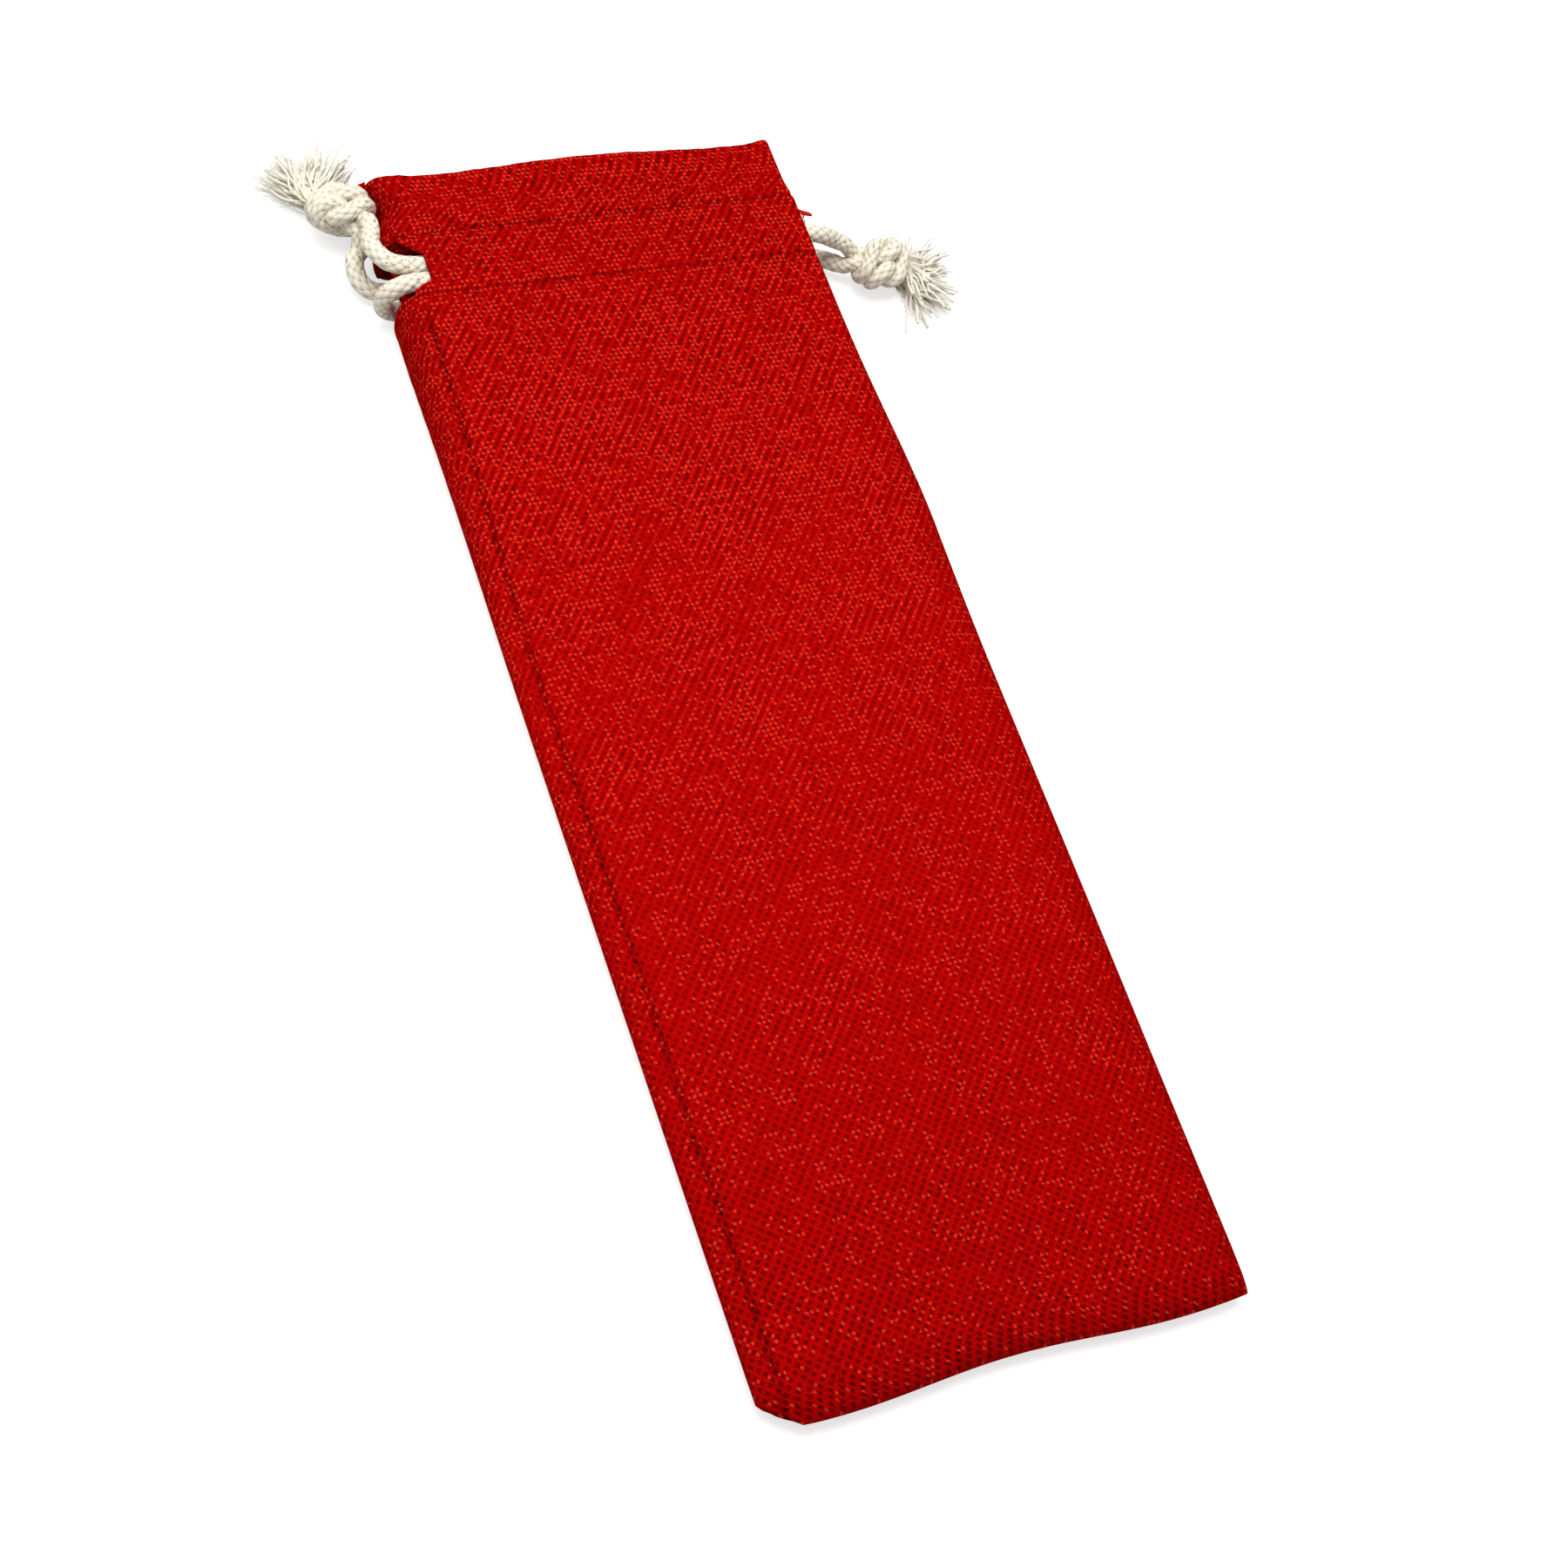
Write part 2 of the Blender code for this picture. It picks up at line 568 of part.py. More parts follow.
def make_fan(name, fan, tails, finish):
    """The frayed ends: a flat fan of strands, thick at the root, ribbed, with an uneven rim."""
    mesh = bmesh.new()
    root = fan_root(fan, tails)
    heading = math.radians(fan["heading"])
    sideways = Vector((-math.sin(heading), math.cos(heading), 0))
    top, low = [], []
    for j in range(FAN_RINGS + 1):
        out = j / FAN_RINGS
        upper, lower = [], []
        for i in range(FAN_RIBS * 4 + 1):
            share = i / (FAN_RIBS * 2) - 1
            angle = heading + math.radians(fan["spread"]) * share
            rib = math.cos(math.pi * i / 2)
            length = fan["reach"] * (1 - 0.20 * share**2 + 0.06 * math.sin(5.1 * i) + 0.04 * rib)
            start = root + sideways * (FAN_ROOT_WIDTH / 2) * share
            along = Vector((math.cos(angle), math.sin(angle), 0))
            flat = start + along * length * out
            thick = blend(FRAY_THICK, FRAY_RIM, out**0.6)
            middle = blend(root.z, 0.0, smooth(out, 0.0, 0.8))
            middle = max(middle, thick / 2 + FRAY_LIFT)
            bump = FRAY_RIB * rib * smooth(out, 0.1, 0.5)
            upper.append(mesh.verts.new((flat.x, flat.y, middle + thick / 2 + bump)))
            lower.append(mesh.verts.new((flat.x, flat.y, middle - thick / 2)))
        top.append(upper)
        low.append(lower)
    across = FAN_RIBS * 4
    for j in range(FAN_RINGS):
        for i in range(across):
            mesh.faces.new([top[j][i], top[j][i + 1], top[j + 1][i + 1], top[j + 1][i]])
            mesh.faces.new([low[j][i], low[j + 1][i], low[j + 1][i + 1], low[j][i + 1]])
        for i in (0, across):
            mesh.faces.new([top[j][i], top[j + 1][i], low[j + 1][i], low[j][i]])
    for j in (0, FAN_RINGS):
        for i in range(across):
            mesh.faces.new([top[j][i], top[j][i + 1], low[j][i + 1], low[j][i]])
    return place(name, mesh, finish)


# The drawcords' routes, in millimetres: down from the knot, through the front channel, round the far
# side, back through the back channel and up to the knot again
LEFT_ROUTE = [
    (-45.7, 107.4, 11.7),
    (-46.7, 104.5, 12.6),
    (-46.3, 101.7, 13.15),
    (-44.5, 99.3, 13.15),
    (-41.6, 98.3, 12.95),
    (-38.6, 98.0, 12.95),
    (-20.0, 98.5, 12.95),
    (0.0, 98.9, 12.95),
    (36.6, 99.9, 12.95),
    (40.3, 100.0, 12.6),
    (42.3, 100.1, 10.6),
    (42.6, 100.2, 7.9),
    (42.3, 100.4, 5.2),
    (40.3, 100.6, 3.1),
    (36.6, 100.7, 2.85),
    (0.0, 100.8, 2.85),
    (-20.0, 100.6, 2.85),
    (-40.0, 100.2, 2.85),
    (-45.0, 100.3, 2.9),
    (-48.0, 101.7, 3.4),
    (-48.9, 104.4, 4.1),
    (-48.0, 107.3, 4.9),
]
RIGHT_ROUTE = [
    (46.6, 95.9, 9.6),
    (44.0, 95.6, 11.5),
    (41.6, 95.6, 12.6),
    (38.8, 95.7, 12.95),
    (20.0, 95.4, 12.95),
    (0.0, 94.8, 12.95),
    (-20.0, 94.5, 12.95),
    (-38.6, 94.2, 12.95),
    (-42.2, 94.1, 13.1),
    (-45.5, 93.7, 13.0),
    (-47.9, 93.8, 10.9),
    (-48.1, 94.2, 7.9),
    (-47.3, 94.7, 5.0),
    (-44.6, 95.2, 2.85),
    (-38.0, 95.8, 2.85),
    (-20.0, 96.5, 2.85),
    (0.0, 96.7, 2.85),
    (20.0, 96.6, 2.85),
    (37.5, 96.8, 2.85),
    (41.5, 96.9, 2.9),
    (44.4, 96.1, 3.2),
    (47.1, 94.2, 3.8),
]


def cord_route(route, strands):
    """The route in metres, with both ends led to the knot's own two strands, a small gap short of them."""
    points = [Vector(p) / 1000 for p in route]
    legs = [(strand[0], (strand[0] - strand[1]).normalized()) for strand in strands]
    legs.sort(key=lambda leg: (leg[0] - points[0]).length)
    starts = [leg[0] + leg[1] * TOUCH_GAP for leg in legs]
    return [starts[0], starts[0] + legs[0][1] * KNOT_STUB] + points + [
        starts[1] + legs[1][1] * KNOT_STUB,
        starts[1],
    ]


def main():
    for obj in list(bpy.data.objects):
        bpy.data.objects.remove(obj, do_unlink=True)
    cloth = material("red_cloth", (0.42, 0.008, 0.006), 0.9)
    cotton = material("ivory_cotton", (0.78, 0.74, 0.64), 0.85)
    fray = material("loose_cotton", (0.84, 0.81, 0.74), 0.9)
    make_pouch(cloth)
    strands = tight_knot()
    sides = (
        ("left", LEFT_KNOT, LEFT_FAN, LEFT_ROUTE),
        ("right", RIGHT_KNOT, RIGHT_FAN, RIGHT_ROUTE),
    )
    for side, knot, fan, route in sides:
        placed = knot_strands(strands, knot, route)
        tails = [(path[-1], (path[-1] - path[-3]).normalized()) for path in placed]
        make_knot(f"{side}_knot", placed, knot, cotton)
        make_cord(f"{side}_drawcord", cord_route(route, placed), cotton)
        make_fan(f"{side}_frayed_ends", fan, tails, fray)


main()
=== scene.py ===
"""Looks of the red kinchaku pouch.

The pouch lies on its back on z = 0 with its mouth at +Y, in metres. Coarse woven cloth is sewn into a
casing below the mouth, two braided cotton drawcords run through it from either side, and each is tied
in one knot whose ends have come apart into a tuft of loose cotton.
"""

from __future__ import annotations

import logging
import math
import random
from dataclasses import dataclass, field
from enum import Enum
from typing import Callable, Iterable, Sequence

import bmesh
import bpy
import numpy as np
from mathutils import Matrix, Vector


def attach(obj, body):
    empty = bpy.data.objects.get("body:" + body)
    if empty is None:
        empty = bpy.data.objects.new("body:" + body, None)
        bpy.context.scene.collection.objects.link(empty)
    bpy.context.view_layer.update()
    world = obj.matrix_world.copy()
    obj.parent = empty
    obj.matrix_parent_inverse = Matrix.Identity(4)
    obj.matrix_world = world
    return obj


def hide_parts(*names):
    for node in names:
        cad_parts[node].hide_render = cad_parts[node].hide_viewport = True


log = logging.getLogger("pouch")

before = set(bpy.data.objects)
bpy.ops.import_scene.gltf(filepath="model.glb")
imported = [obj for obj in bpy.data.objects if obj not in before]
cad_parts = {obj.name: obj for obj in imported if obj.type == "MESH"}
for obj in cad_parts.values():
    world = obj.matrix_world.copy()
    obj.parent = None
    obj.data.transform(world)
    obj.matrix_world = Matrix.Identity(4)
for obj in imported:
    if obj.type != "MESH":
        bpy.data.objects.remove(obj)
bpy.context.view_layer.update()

Socket = bpy.types.NodeSocket
Colour = tuple[float, float, float]
Places = list[tuple[float, float]]

MM = 0.001
BODY = "root"
GRAIN_MAP = "grain"
LAY_MAP = "lay"


# ---- small sums ----


def smooth(value: float, low: float, high: float) -> float:
    """0 below low, 1 above high, and a smooth curve between them."""
    t = min(1.0, max(0.0, (value - low) / (high - low)))
    return t * t * (3 - 2 * t)


def blend(a: float, b: float, share: float) -> float:
    """The value that share of the way from a to b."""
    return a + (b - a) * share


def smooth_path(points: Sequence[Vector], per_span: int) -> list[Vector]:
    """A smooth curve through given points.

    Args:
        points: The points, in order.
        per_span: How many points the curve gets between two of them.

    Returns:
        The curve's points, the last one included.
    """
    knots = [Vector(p) for p in points]
    slopes = []
    for before, here, after in zip([knots[0]] + knots, knots, knots[1:] + [knots[-1]]):
        slopes.append((after - before) / ((here - before).length + (after - here).length))
    path = []
    for start, end, slope, next_slope in zip(knots, knots[1:], slopes, slopes[1:]):
        span = (end - start).length
        for i in range(per_span):
            t = i / per_span
            bend = slope * (t**3 - 2 * t**2 + t) + next_slope * (t**3 - t**2)
            path.append(start.lerp(end, 3 * t**2 - 2 * t**3) + bend * span)
    path.append(knots[-1])
    return path


def walked_along(line: np.ndarray) -> np.ndarray:
    """How far each point of a line is from its start, walked along it."""
    return np.concatenate([[0.0], np.cumsum(np.linalg.norm(np.diff(line, axis=0), axis=1))])


def spaced(line: np.ndarray, count: int) -> np.ndarray:
    """The same line with that many points, evenly spaced."""
    walked = walked_along(line)
    even = np.linspace(0.0, walked[-1], count)
    return np.stack([np.interp(even, walked, line[:, k]) for k in range(3)], axis=1)


def even_path(points: Sequence[Vector], step: float) -> np.ndarray:
    """The same line with its points a step apart.

    Args:
        points: The line's points.
        step: The distance wanted between neighbours, in metres.

    Returns:
        An array of points, one row each.
    """
    line = np.array([tuple(p) for p in points])
    return spaced(line, max(2, int(round(walked_along(line)[-1] / step)) + 1))


def carried_frames(line: np.ndarray) -> tuple[np.ndarray, np.ndarray]:
    """Two directions across a line at each of its points, carried along it without twisting.

    Args:
        line: The line's points.

    Returns:
        The side and the up directions, one row for each point.
    """
    ahead = np.gradient(line, axis=0)
    ahead /= np.linalg.norm(ahead, axis=1)[:, None]
    start = np.cross(ahead[0], [0.0, 0.0, 1.0])
    if np.linalg.norm(start) < 0.2:
        start = np.cross(ahead[0], [0.0, 1.0, 0.0])
    sides = np.zeros_like(line)
    sides[0] = start / np.linalg.norm(start)
    for i in range(1, len(line)):
        carried = sides[i - 1] - ahead[i] * float(sides[i - 1] @ ahead[i])
        sides[i] = carried / np.linalg.norm(carried)
    return sides, np.cross(ahead, sides)


def braid_height(turn: np.ndarray, along: np.ndarray) -> np.ndarray:
    """How high the braid's yarns stand, where one family of yarns passes over the other.

    Args:
        turn: The place round the cord for each point, in crossings.
        along: The place along the cord for each point, in crossings.

    Returns:
        The height, from about -0.5 in the gaps to 1 on top of a yarn.
    """
    one, two = turn + along, turn - along
    round_one = 1 - (2 * (one % 1) - 1) ** 2
    round_two = 1 - (2 * (two % 1) - 1) ** 2
    over = 0.5 * round_one + 0.5 * np.sin(np.pi * (two + np.floor(one)))
    under = 0.5 * round_two - 0.5 * np.sin(np.pi * (one + np.floor(two)))
    return np.maximum(over, under)


# ---- meshes ----


def new_object(name: str, mesh: bpy.types.Mesh, finish: bpy.types.Material) -> bpy.types.Object:
    """Puts a mesh in the scene as an object with one finish."""
    mesh.materials.append(finish)
    obj = bpy.data.objects.new(name, mesh)
    bpy.context.scene.collection.objects.link(obj)
    return obj


def mesh_object(name: str, mesh: bmesh.types.BMesh, finish: bpy.types.Material) -> bpy.types.Object:
    """Puts a working mesh in the scene as a smooth-shaded object with one finish."""
    data = bpy.data.meshes.new(name)
    mesh.to_mesh(data)
    mesh.free()
    data.shade_smooth()
    return new_object(name, data, finish)


def select_only(obj: bpy.types.Object) -> None:
    """Makes one object the selected and active one."""
    bpy.ops.object.select_all(action="DESELECT")
    obj.select_set(True)
    bpy.context.view_layer.objects.active = obj


def apply_modifiers(obj: bpy.types.Object) -> None:
    """Applies every modifier of an object, in order."""
    select_only(obj)
    for name in [m.name for m in obj.modifiers]:
        bpy.ops.object.modifier_apply(modifier=name)


@dataclass
class Tube:
    """A round tube along a line, with a braided surface if it is given one."""

    line: np.ndarray
    radii: np.ndarray
    sides: int = 28
    yarns_round: int = 6
    yarn_pitch: float = 2.1 * MM
    relief: float = 0.0
    start_at: float = 0.0

    def build(self, name: str, finish: bpy.types.Material) -> bpy.types.Object:
        """Makes the tube as an object with a map of its turn and length."""
        verts, faces, uvs = self.parts()
        return tube_object(name, [(verts, faces, uvs)], finish)

    def parts(self) -> tuple[np.ndarray, list[list[int]], list[tuple[float, float]]]:
        """The tube's points, its faces and a map point for each face corner.

        Returns:
            The three lists. The map's first number is the turn, from 0 to 1, and its second the length
            along the tube in metres.
        """
        side, up = carried_frames(self.line)
        count = len(self.line)
        walked = self.start_at + walked_along(self.line)
        turn = np.arange(self.sides) / self.sides
        radii = np.repeat(self.radii[:, None], self.sides, axis=1)
        if self.relief:
            places = np.broadcast_to(turn[None, :] * self.yarns_round, radii.shape)
            lengths = np.broadcast_to(walked[:, None] / self.yarn_pitch, radii.shape)
            radii = radii + self.relief * (braid_height(places, lengths) - 0.6)
        angle = 2 * np.pi * turn
        across = np.cos(angle)[None, :, None] * side[:, None, :]
        across = across + np.sin(angle)[None, :, None] * up[:, None, :]
        verts = (self.line[:, None, :] + radii[:, :, None] * across).reshape(-1, 3)
        faces: list[list[int]] = []
        uvs: list[tuple[float, float]] = []
        for i in range(count - 1):
            low, high = float(walked[i]), float(walked[i + 1])
            here, there = i * self.sides, (i + 1) * self.sides
            for j in range(self.sides):
                k = (j + 1) % self.sides
                a, b = j / self.sides, (j + 1) / self.sides
                faces.append([here + j, here + k, there + k, there + j])
                uvs += [(a, low), (b, low), (b, high), (a, high)]
        first = list(range(self.sides))[::-1]
        last = [(count - 1) * self.sides + j for j in range(self.sides)]
        faces += [first, last]
        uvs += [(j / self.sides, float(walked[0])) for j in first]
        uvs += [(j / self.sides, float(walked[-1])) for j in range(self.sides)]
        return verts, faces, uvs


def tube_object(
    name: str,
    parts: Iterable[tuple[np.ndarray, list[list[int]], list[tuple[float, float]]]],
    finish: bpy.types.Material,
) -> bpy.types.Object:
    """One object of several tubes.

    Args:
        name: The object's name.
        parts: The points, faces and map of each tube.
        finish: Its material.

    Returns:
        The object, with every face pointing out.
    """
    verts: list[np.ndarray] = []
    faces: list[list[int]] = []
    uvs: list[tuple[float, float]] = []
    offset = 0
    for points, loops, places in parts:
        verts.append(points)
        faces += [[index + offset for index in loop] for loop in loops]
        uvs += places
        offset += len(points)
    mesh = bpy.data.meshes.new(name)
    mesh.from_pydata(np.concatenate(verts).tolist(), [], faces)
    layer = mesh.uv_layers.new(name=LAY_MAP)
    layer.data.foreach_set("uv", np.array(uvs, dtype=np.float32).ravel())
    work = bmesh.new()
    work.from_mesh(mesh)
    bmesh.ops.recalc_face_normals(work, faces=work.faces)
    work.to_mesh(mesh)
    work.free()
    mesh.shade_smooth()
    mesh.set_sharp_from_angle(angle=math.radians(60))
    return new_object(name, mesh, finish)


# ---- finishes ----


class Graph:
    """A material's node tree, with short calls for the nodes that the finishes use."""

    def __init__(self, name: str) -> None:
        """Starts a material with one Principled shader."""
        self.material = bpy.data.materials.new(name)
        self.material.use_nodes = True
        self.nodes = self.material.node_tree.nodes
        self.links = self.material.node_tree.links
        self.shader = self.nodes["Principled BSDF"]

    def join(self, value: float | Socket, socket: Socket) -> None:
        """Sets a socket to a number, or links it to another socket."""
        if isinstance(value, bpy.types.NodeSocket):
            self.links.new(value, socket)
        else:
            socket.default_value = value

    def calc(self, operation: str, *values: float | Socket) -> Socket:
        """A Math node of that operation on one, two or three values."""
        node = self.nodes.new("ShaderNodeMath")
        node.operation = operation
        for value, socket in zip(values, node.inputs):
            self.join(value, socket)
        return node.outputs[0]

    def plus(self, one: Socket, two: float | Socket) -> Socket:
        """Two values added."""
        return self.calc("ADD", one, two)

    def times(self, one: Socket, two: float | Socket) -> Socket:
        """One value times the other."""
        return self.calc("MULTIPLY", one, two)

    def fused(self, one: Socket, two: float | Socket, three: float | Socket) -> Socket:
        """One value times the second, plus the third."""
        return self.calc("MULTIPLY_ADD", one, two, three)

    def uv(self, name: str) -> tuple[Socket, Socket]:
        """The two numbers of one of the piece's own maps."""
        source = self.nodes.new("ShaderNodeUVMap")
        source.uv_map = name
        return self.parts(source.outputs[0])[:2]

    def object_place(self) -> Socket:
        """The place in the object's own space."""
        return self.nodes.new("ShaderNodeTexCoord").outputs["Object"]

    def parts(self, vector: Socket) -> tuple[Socket, Socket, Socket]:
        """The three numbers of a vector or a colour."""
        split = self.nodes.new("ShaderNodeSeparateXYZ")
        self.links.new(vector, split.inputs[0])
        return tuple(split.outputs)

    def vector(self, x: float | Socket, y: float | Socket, z: float | Socket = 0.0) -> Socket:
        """A vector of three values."""
        node = self.nodes.new("ShaderNodeCombineXYZ")
        for value, socket in zip((x, y, z), node.inputs):
            self.join(value, socket)
        return node.outputs[0]

    def noise(self, place: Socket, scale: float, detail: float = 2.0) -> Socket:
        """Soft noise at a place, about 0.5 on average."""
        node = self.nodes.new("ShaderNodeTexNoise")
        self.links.new(place, node.inputs["Vector"])
        node.inputs["Scale"].default_value = scale
        node.inputs["Detail"].default_value = detail
        return node.outputs[0]

    def chance(self, place: Socket) -> Socket:
        """A number from 0 to 1 that is the same all over one whole-number cell."""
        node = self.nodes.new("ShaderNodeTexWhiteNoise")
        self.links.new(place, node.inputs["Vector"])
        return node.outputs["Value"]

    def span(
        self,
        value: Socket,
        low: float | Socket,
        high: float,
        to_low: float | Socket = 0.0,
        to_high: float = 1.0,
    ) -> Socket:
        """Maps a span of values to another, held at both ends."""
        node = self.nodes.new("ShaderNodeMapRange")
        for number, socket in zip((value, low, high, to_low, to_high), node.inputs):
            self.join(number, socket)
        return node.outputs[0]

    def blend(self, share: Socket, one: Socket, two: Socket) -> Socket:
        """A mix of two numbers."""
        return self.fused(self.calc("SUBTRACT", two, one), share, one)

    def mix(self, share: float | Socket, one: Colour | Socket, two: Colour | Socket) -> Socket:
        """A mix of two colours."""
        node = self.nodes.new("ShaderNodeMix")
        node.data_type = "RGBA"
        self.join(share, node.inputs["Factor"])
        for colour, socket in ((one, node.inputs["A"]), (two, node.inputs["B"])):
            self.join(colour if isinstance(colour, bpy.types.NodeSocket) else (*colour, 1.0), socket)
        return node.outputs["Result"]

    def weave(self, one: Socket, two: Socket) -> tuple[Socket, Socket, Socket, Socket]:
        """A plain weave over two numbers that count its yarns.

        Args:
            one: The place across the first yarns, one whole number for each.
            two: The place across the second yarns.

        Returns:
            The height, how far the first yarn stands above the second, and the two yarns' own numbers.
        """
        first, second = self.calc("FLOOR", one), self.calc("FLOOR", two)
        heights = []
        for across, along, own, sign in ((one, two, first, 0.5), (two, one, second, -0.5)):
            centred = self.fused(self.calc("FRACT", across), 2.0, -1.0)
            rounded = self.fused(self.times(centred, centred), -0.5, 0.5)
            wave = self.calc("SINE", self.times(self.plus(along, own), math.pi))
            heights.append(self.fused(wave, sign, rounded))
        height = self.calc("MAXIMUM", heights[0], heights[1])
        return height, self.calc("SUBTRACT", heights[0], heights[1]), first, second

    def bump(self, height: Socket, depth: float) -> None:
        """Gives the shader a bump of that depth in metres."""
        node = self.nodes.new("ShaderNodeBump")
        node.inputs["Strength"].default_value = 1.0
        node.inputs["Distance"].default_value = depth
        self.links.new(height, node.inputs["Height"])
        self.links.new(node.outputs[0], self.shader.inputs["Normal"])

    def finish(self, colour: Socket, roughness: float, specular: float) -> bpy.types.Material:
        """Ends the material with its colour, roughness and specular level."""
        self.links.new(colour, self.shader.inputs["Base Color"])
        self.shader.inputs["Roughness"].default_value = roughness
        self.shader.inputs["Specular IOR Level"].default_value = specular
        return self.material


@dataclass(frozen=True)
class Grain:
    """The places in the cloth's grain: across and along it in metres, and counted in yarns."""

    across: Socket
    along: Socket
    warp_at: Socket
    weft_at: Socket


@dataclass(frozen=True)
class RedCloth:
    """Coarse red cotton in plain weave, with slubs, and slanting ridges where the yarns' twist joins them,
    painted lighter and darker partly as their own tone and partly as painted light and shade across them. Its
    pores, low places, ends and seam lines carry painted shade, and it has painted highlights and glints.
    """

    pitch: float = 0.965 * MM
    # deep is the painted shade of the weave's pores and low places; plain is the cloth's own red.
    deep: Colour = (0.070, 0.0003, 0.0003)
    plain: Colour = (0.430, 0.0012, 0.0011)
    # Painted highlight colours: lit for the highest yarns, and the glints on some raised crossings.
    lit: Colour = (0.800, 0.026, 0.012)
    painted_glint: Colour = (0.93, 0.062, 0.028)
    yarn_relief: float = 0.36 * MM
    drift: float = 0.7
    slub_stretch: float = 0.16
    check_run: tuple[float, float] = (-100 * MM, 30 * MM)
    # Painted shade towards the bottom and towards the mouth: where it runs and how dark it gets.
    bottom_run: tuple[float, float] = (-124 * MM, -50 * MM)
    bottom_dark: float = -0.10
    mouth_run: tuple[float, float] = (10 * MM, 100 * MM)
    mouth_dark: float = -0.12
    # Dark broken lines along the seams, partly the tucked cloth's own tone and partly painted shade in their
    # recess.
    sewn_rows: tuple[float, float] = (103.4 * MM, 89.4 * MM)
    row_shares: tuple[float, float] = (0.50, 0.15)
    side_seam: float = -41.3 * MM
    side_seam_end: tuple[float, float] = (84 * MM, 88 * MM)
    side_share: float = 0.50
    line_half: tuple[float, float] = (0.2 * MM, 0.9 * MM)

    def yarns_at(self, graph: Graph, place: Socket, at: Socket, scale: float) -> Socket:
        """A place counted in yarns, which lie a little unevenly."""
        drift = graph.fused(graph.noise(at, scale, 2.0), self.drift, -self.drift / 2)
        return graph.fused(place, 1 / self.pitch, drift)

    def slub(self, graph: Graph, yarn: Socket, apart: float, at: Socket, layer: float) -> Socket:
        """How thick one yarn is at a place along it, from its own number."""
        place = graph.vector(graph.times(yarn, apart), graph.times(at, self.slub_stretch), layer)
        return graph.noise(place, 1.0)

    def ridges(self, graph: Graph, grain: Grain) -> Socket:
        """The slanting ridges, and a weaker mirrored set that turns them into a check at the bottom. In the
        colour they are partly the weave's own ridges and partly painted light and shade across them.
        """
        ridge = graph.calc("COSINE", graph.times(graph.calc("SUBTRACT", grain.warp_at, grain.weft_at), math.pi))
        mirrored = graph.calc("COSINE", graph.times(graph.plus(grain.warp_at, grain.weft_at), math.pi))
        place = graph.vector(grain.across, grain.along, 3.0)
        patchy = graph.span(graph.noise(place, 60.0), 0.30, 0.62, 0.05, 0.18)
        slanted = graph.times(patchy, graph.span(grain.along, *self.check_run, 0.70, 1.0))
        checked = graph.times(mirrored, graph.span(grain.along, *self.check_run, 0.13, 0.055))
        return graph.fused(ridge, slanted, checked)

    def painted_darkening(self, graph: Graph, grain: Grain) -> Socket:
        """How much darker the cloth is painted: towards both ends as painted shade of the light's falloff, and in
        broken lines along its seams, partly the tucked cloth's own darker tone and partly painted shade in the
        seams' recess.
        """
        along = grain.along
        # Painted shade: darker towards the bottom and towards the mouth.
        darkened = graph.plus(
            graph.span(along, *self.bottom_run, self.bottom_dark, 0.0),
            graph.span(along, *self.mouth_run, 0.0, self.mouth_dark),
        )
        place = graph.vector(grain.across, along, 5.0)
        broken = graph.span(graph.noise(place, 260.0), 0.35, 0.6, -0.08, -0.42)
        # Seam lines: the tucked cloth's own darker tone, with painted shade in the seams' recess.
        lines = [(along, row, share) for row, share in zip(self.sewn_rows, self.row_shares)]
        below = graph.span(along, *self.side_seam_end, self.side_share, 0.0)
        lines.append((graph.parts(graph.object_place())[0], self.side_seam, below))
        for value, line, share in lines:
            off = graph.calc("ABSOLUTE", graph.calc("SUBTRACT", value, line))
            darkened = graph.fused(graph.span(off, *self.line_half, share, 0.0), broken, darkened)
        return darkened

    def build(self, name: str = "red_cloth_weave") -> bpy.types.Material:
        """Makes the material, which follows the map of the cloth's grain."""
        graph = Graph(name)
        across, along = graph.uv(GRAIN_MAP)
        warp_at = self.yarns_at(graph, across, graph.vector(across, along), 90.0)
        weft_at = self.yarns_at(graph, along, graph.vector(along, across, 7.0), 100.0)
        grain = Grain(across, along, warp_at, weft_at)
        height, proud, warp, weft = graph.weave(warp_at, weft_at)
        warp_up = graph.span(proud, -0.10, 0.55)
        weft_slub = self.slub(graph, weft, 3.7, warp_at, 0.0)
        warp_slub = self.slub(graph, warp, 5.3, weft_at, 9.0)
        slub = graph.blend(warp_up, weft_slub, warp_slub)
        crossing = graph.chance(graph.vector(warp, weft, 1.0))
        hairs = graph.noise(graph.vector(warp_at, weft_at), 3.1, 5.0)
        pattern = self.ridges(graph, grain)
        # Painted shade: the weave's pores and low places darker, plus the painted darkening of ends and seams;
        # slubs, crossings and hairs vary the yarns' own tone.
        shade = graph.fused(graph.span(height, 0.1, 0.95), 0.15, graph.plus(self.painted_darkening(graph, grain), -0.32))
        shade = graph.plus(pattern, shade)
        for value, share in ((warp_up, 0.05), (slub, 0.44), (crossing, 0.14), (hairs, 0.96)):
            shade = graph.fused(value, share, shade)
        colour = graph.mix(graph.span(shade, 0.06, 0.60), self.deep, self.plain)
        # Painted highlight on the highest yarns.
        lit_from = graph.span(along, -0.02, 0.06, 0.76, 0.62)
        colour = graph.mix(graph.span(shade, lit_from, 1.02), colour, self.lit)
        # Painted glints: small bright highlights on some raised crossings.
        fine = graph.chance(graph.vector(warp, weft, 5.0))
        often = graph.calc("GREATER_THAN", fine, graph.span(along, -0.09, 0.06, 0.80, 0.50))
        painted_glint = graph.times(often, graph.span(graph.fused(hairs, 0.9, height), 1.16, 1.50, 0.0, 0.60))
        colour = graph.mix(painted_glint, colour, self.painted_glint)
        relief = graph.fused(pattern, 1.5, graph.fused(hairs, 0.70, graph.times(height, 0.70)))
        graph.bump(relief, self.yarn_relief)
        return graph.finish(colour, 0.9, 0.0)


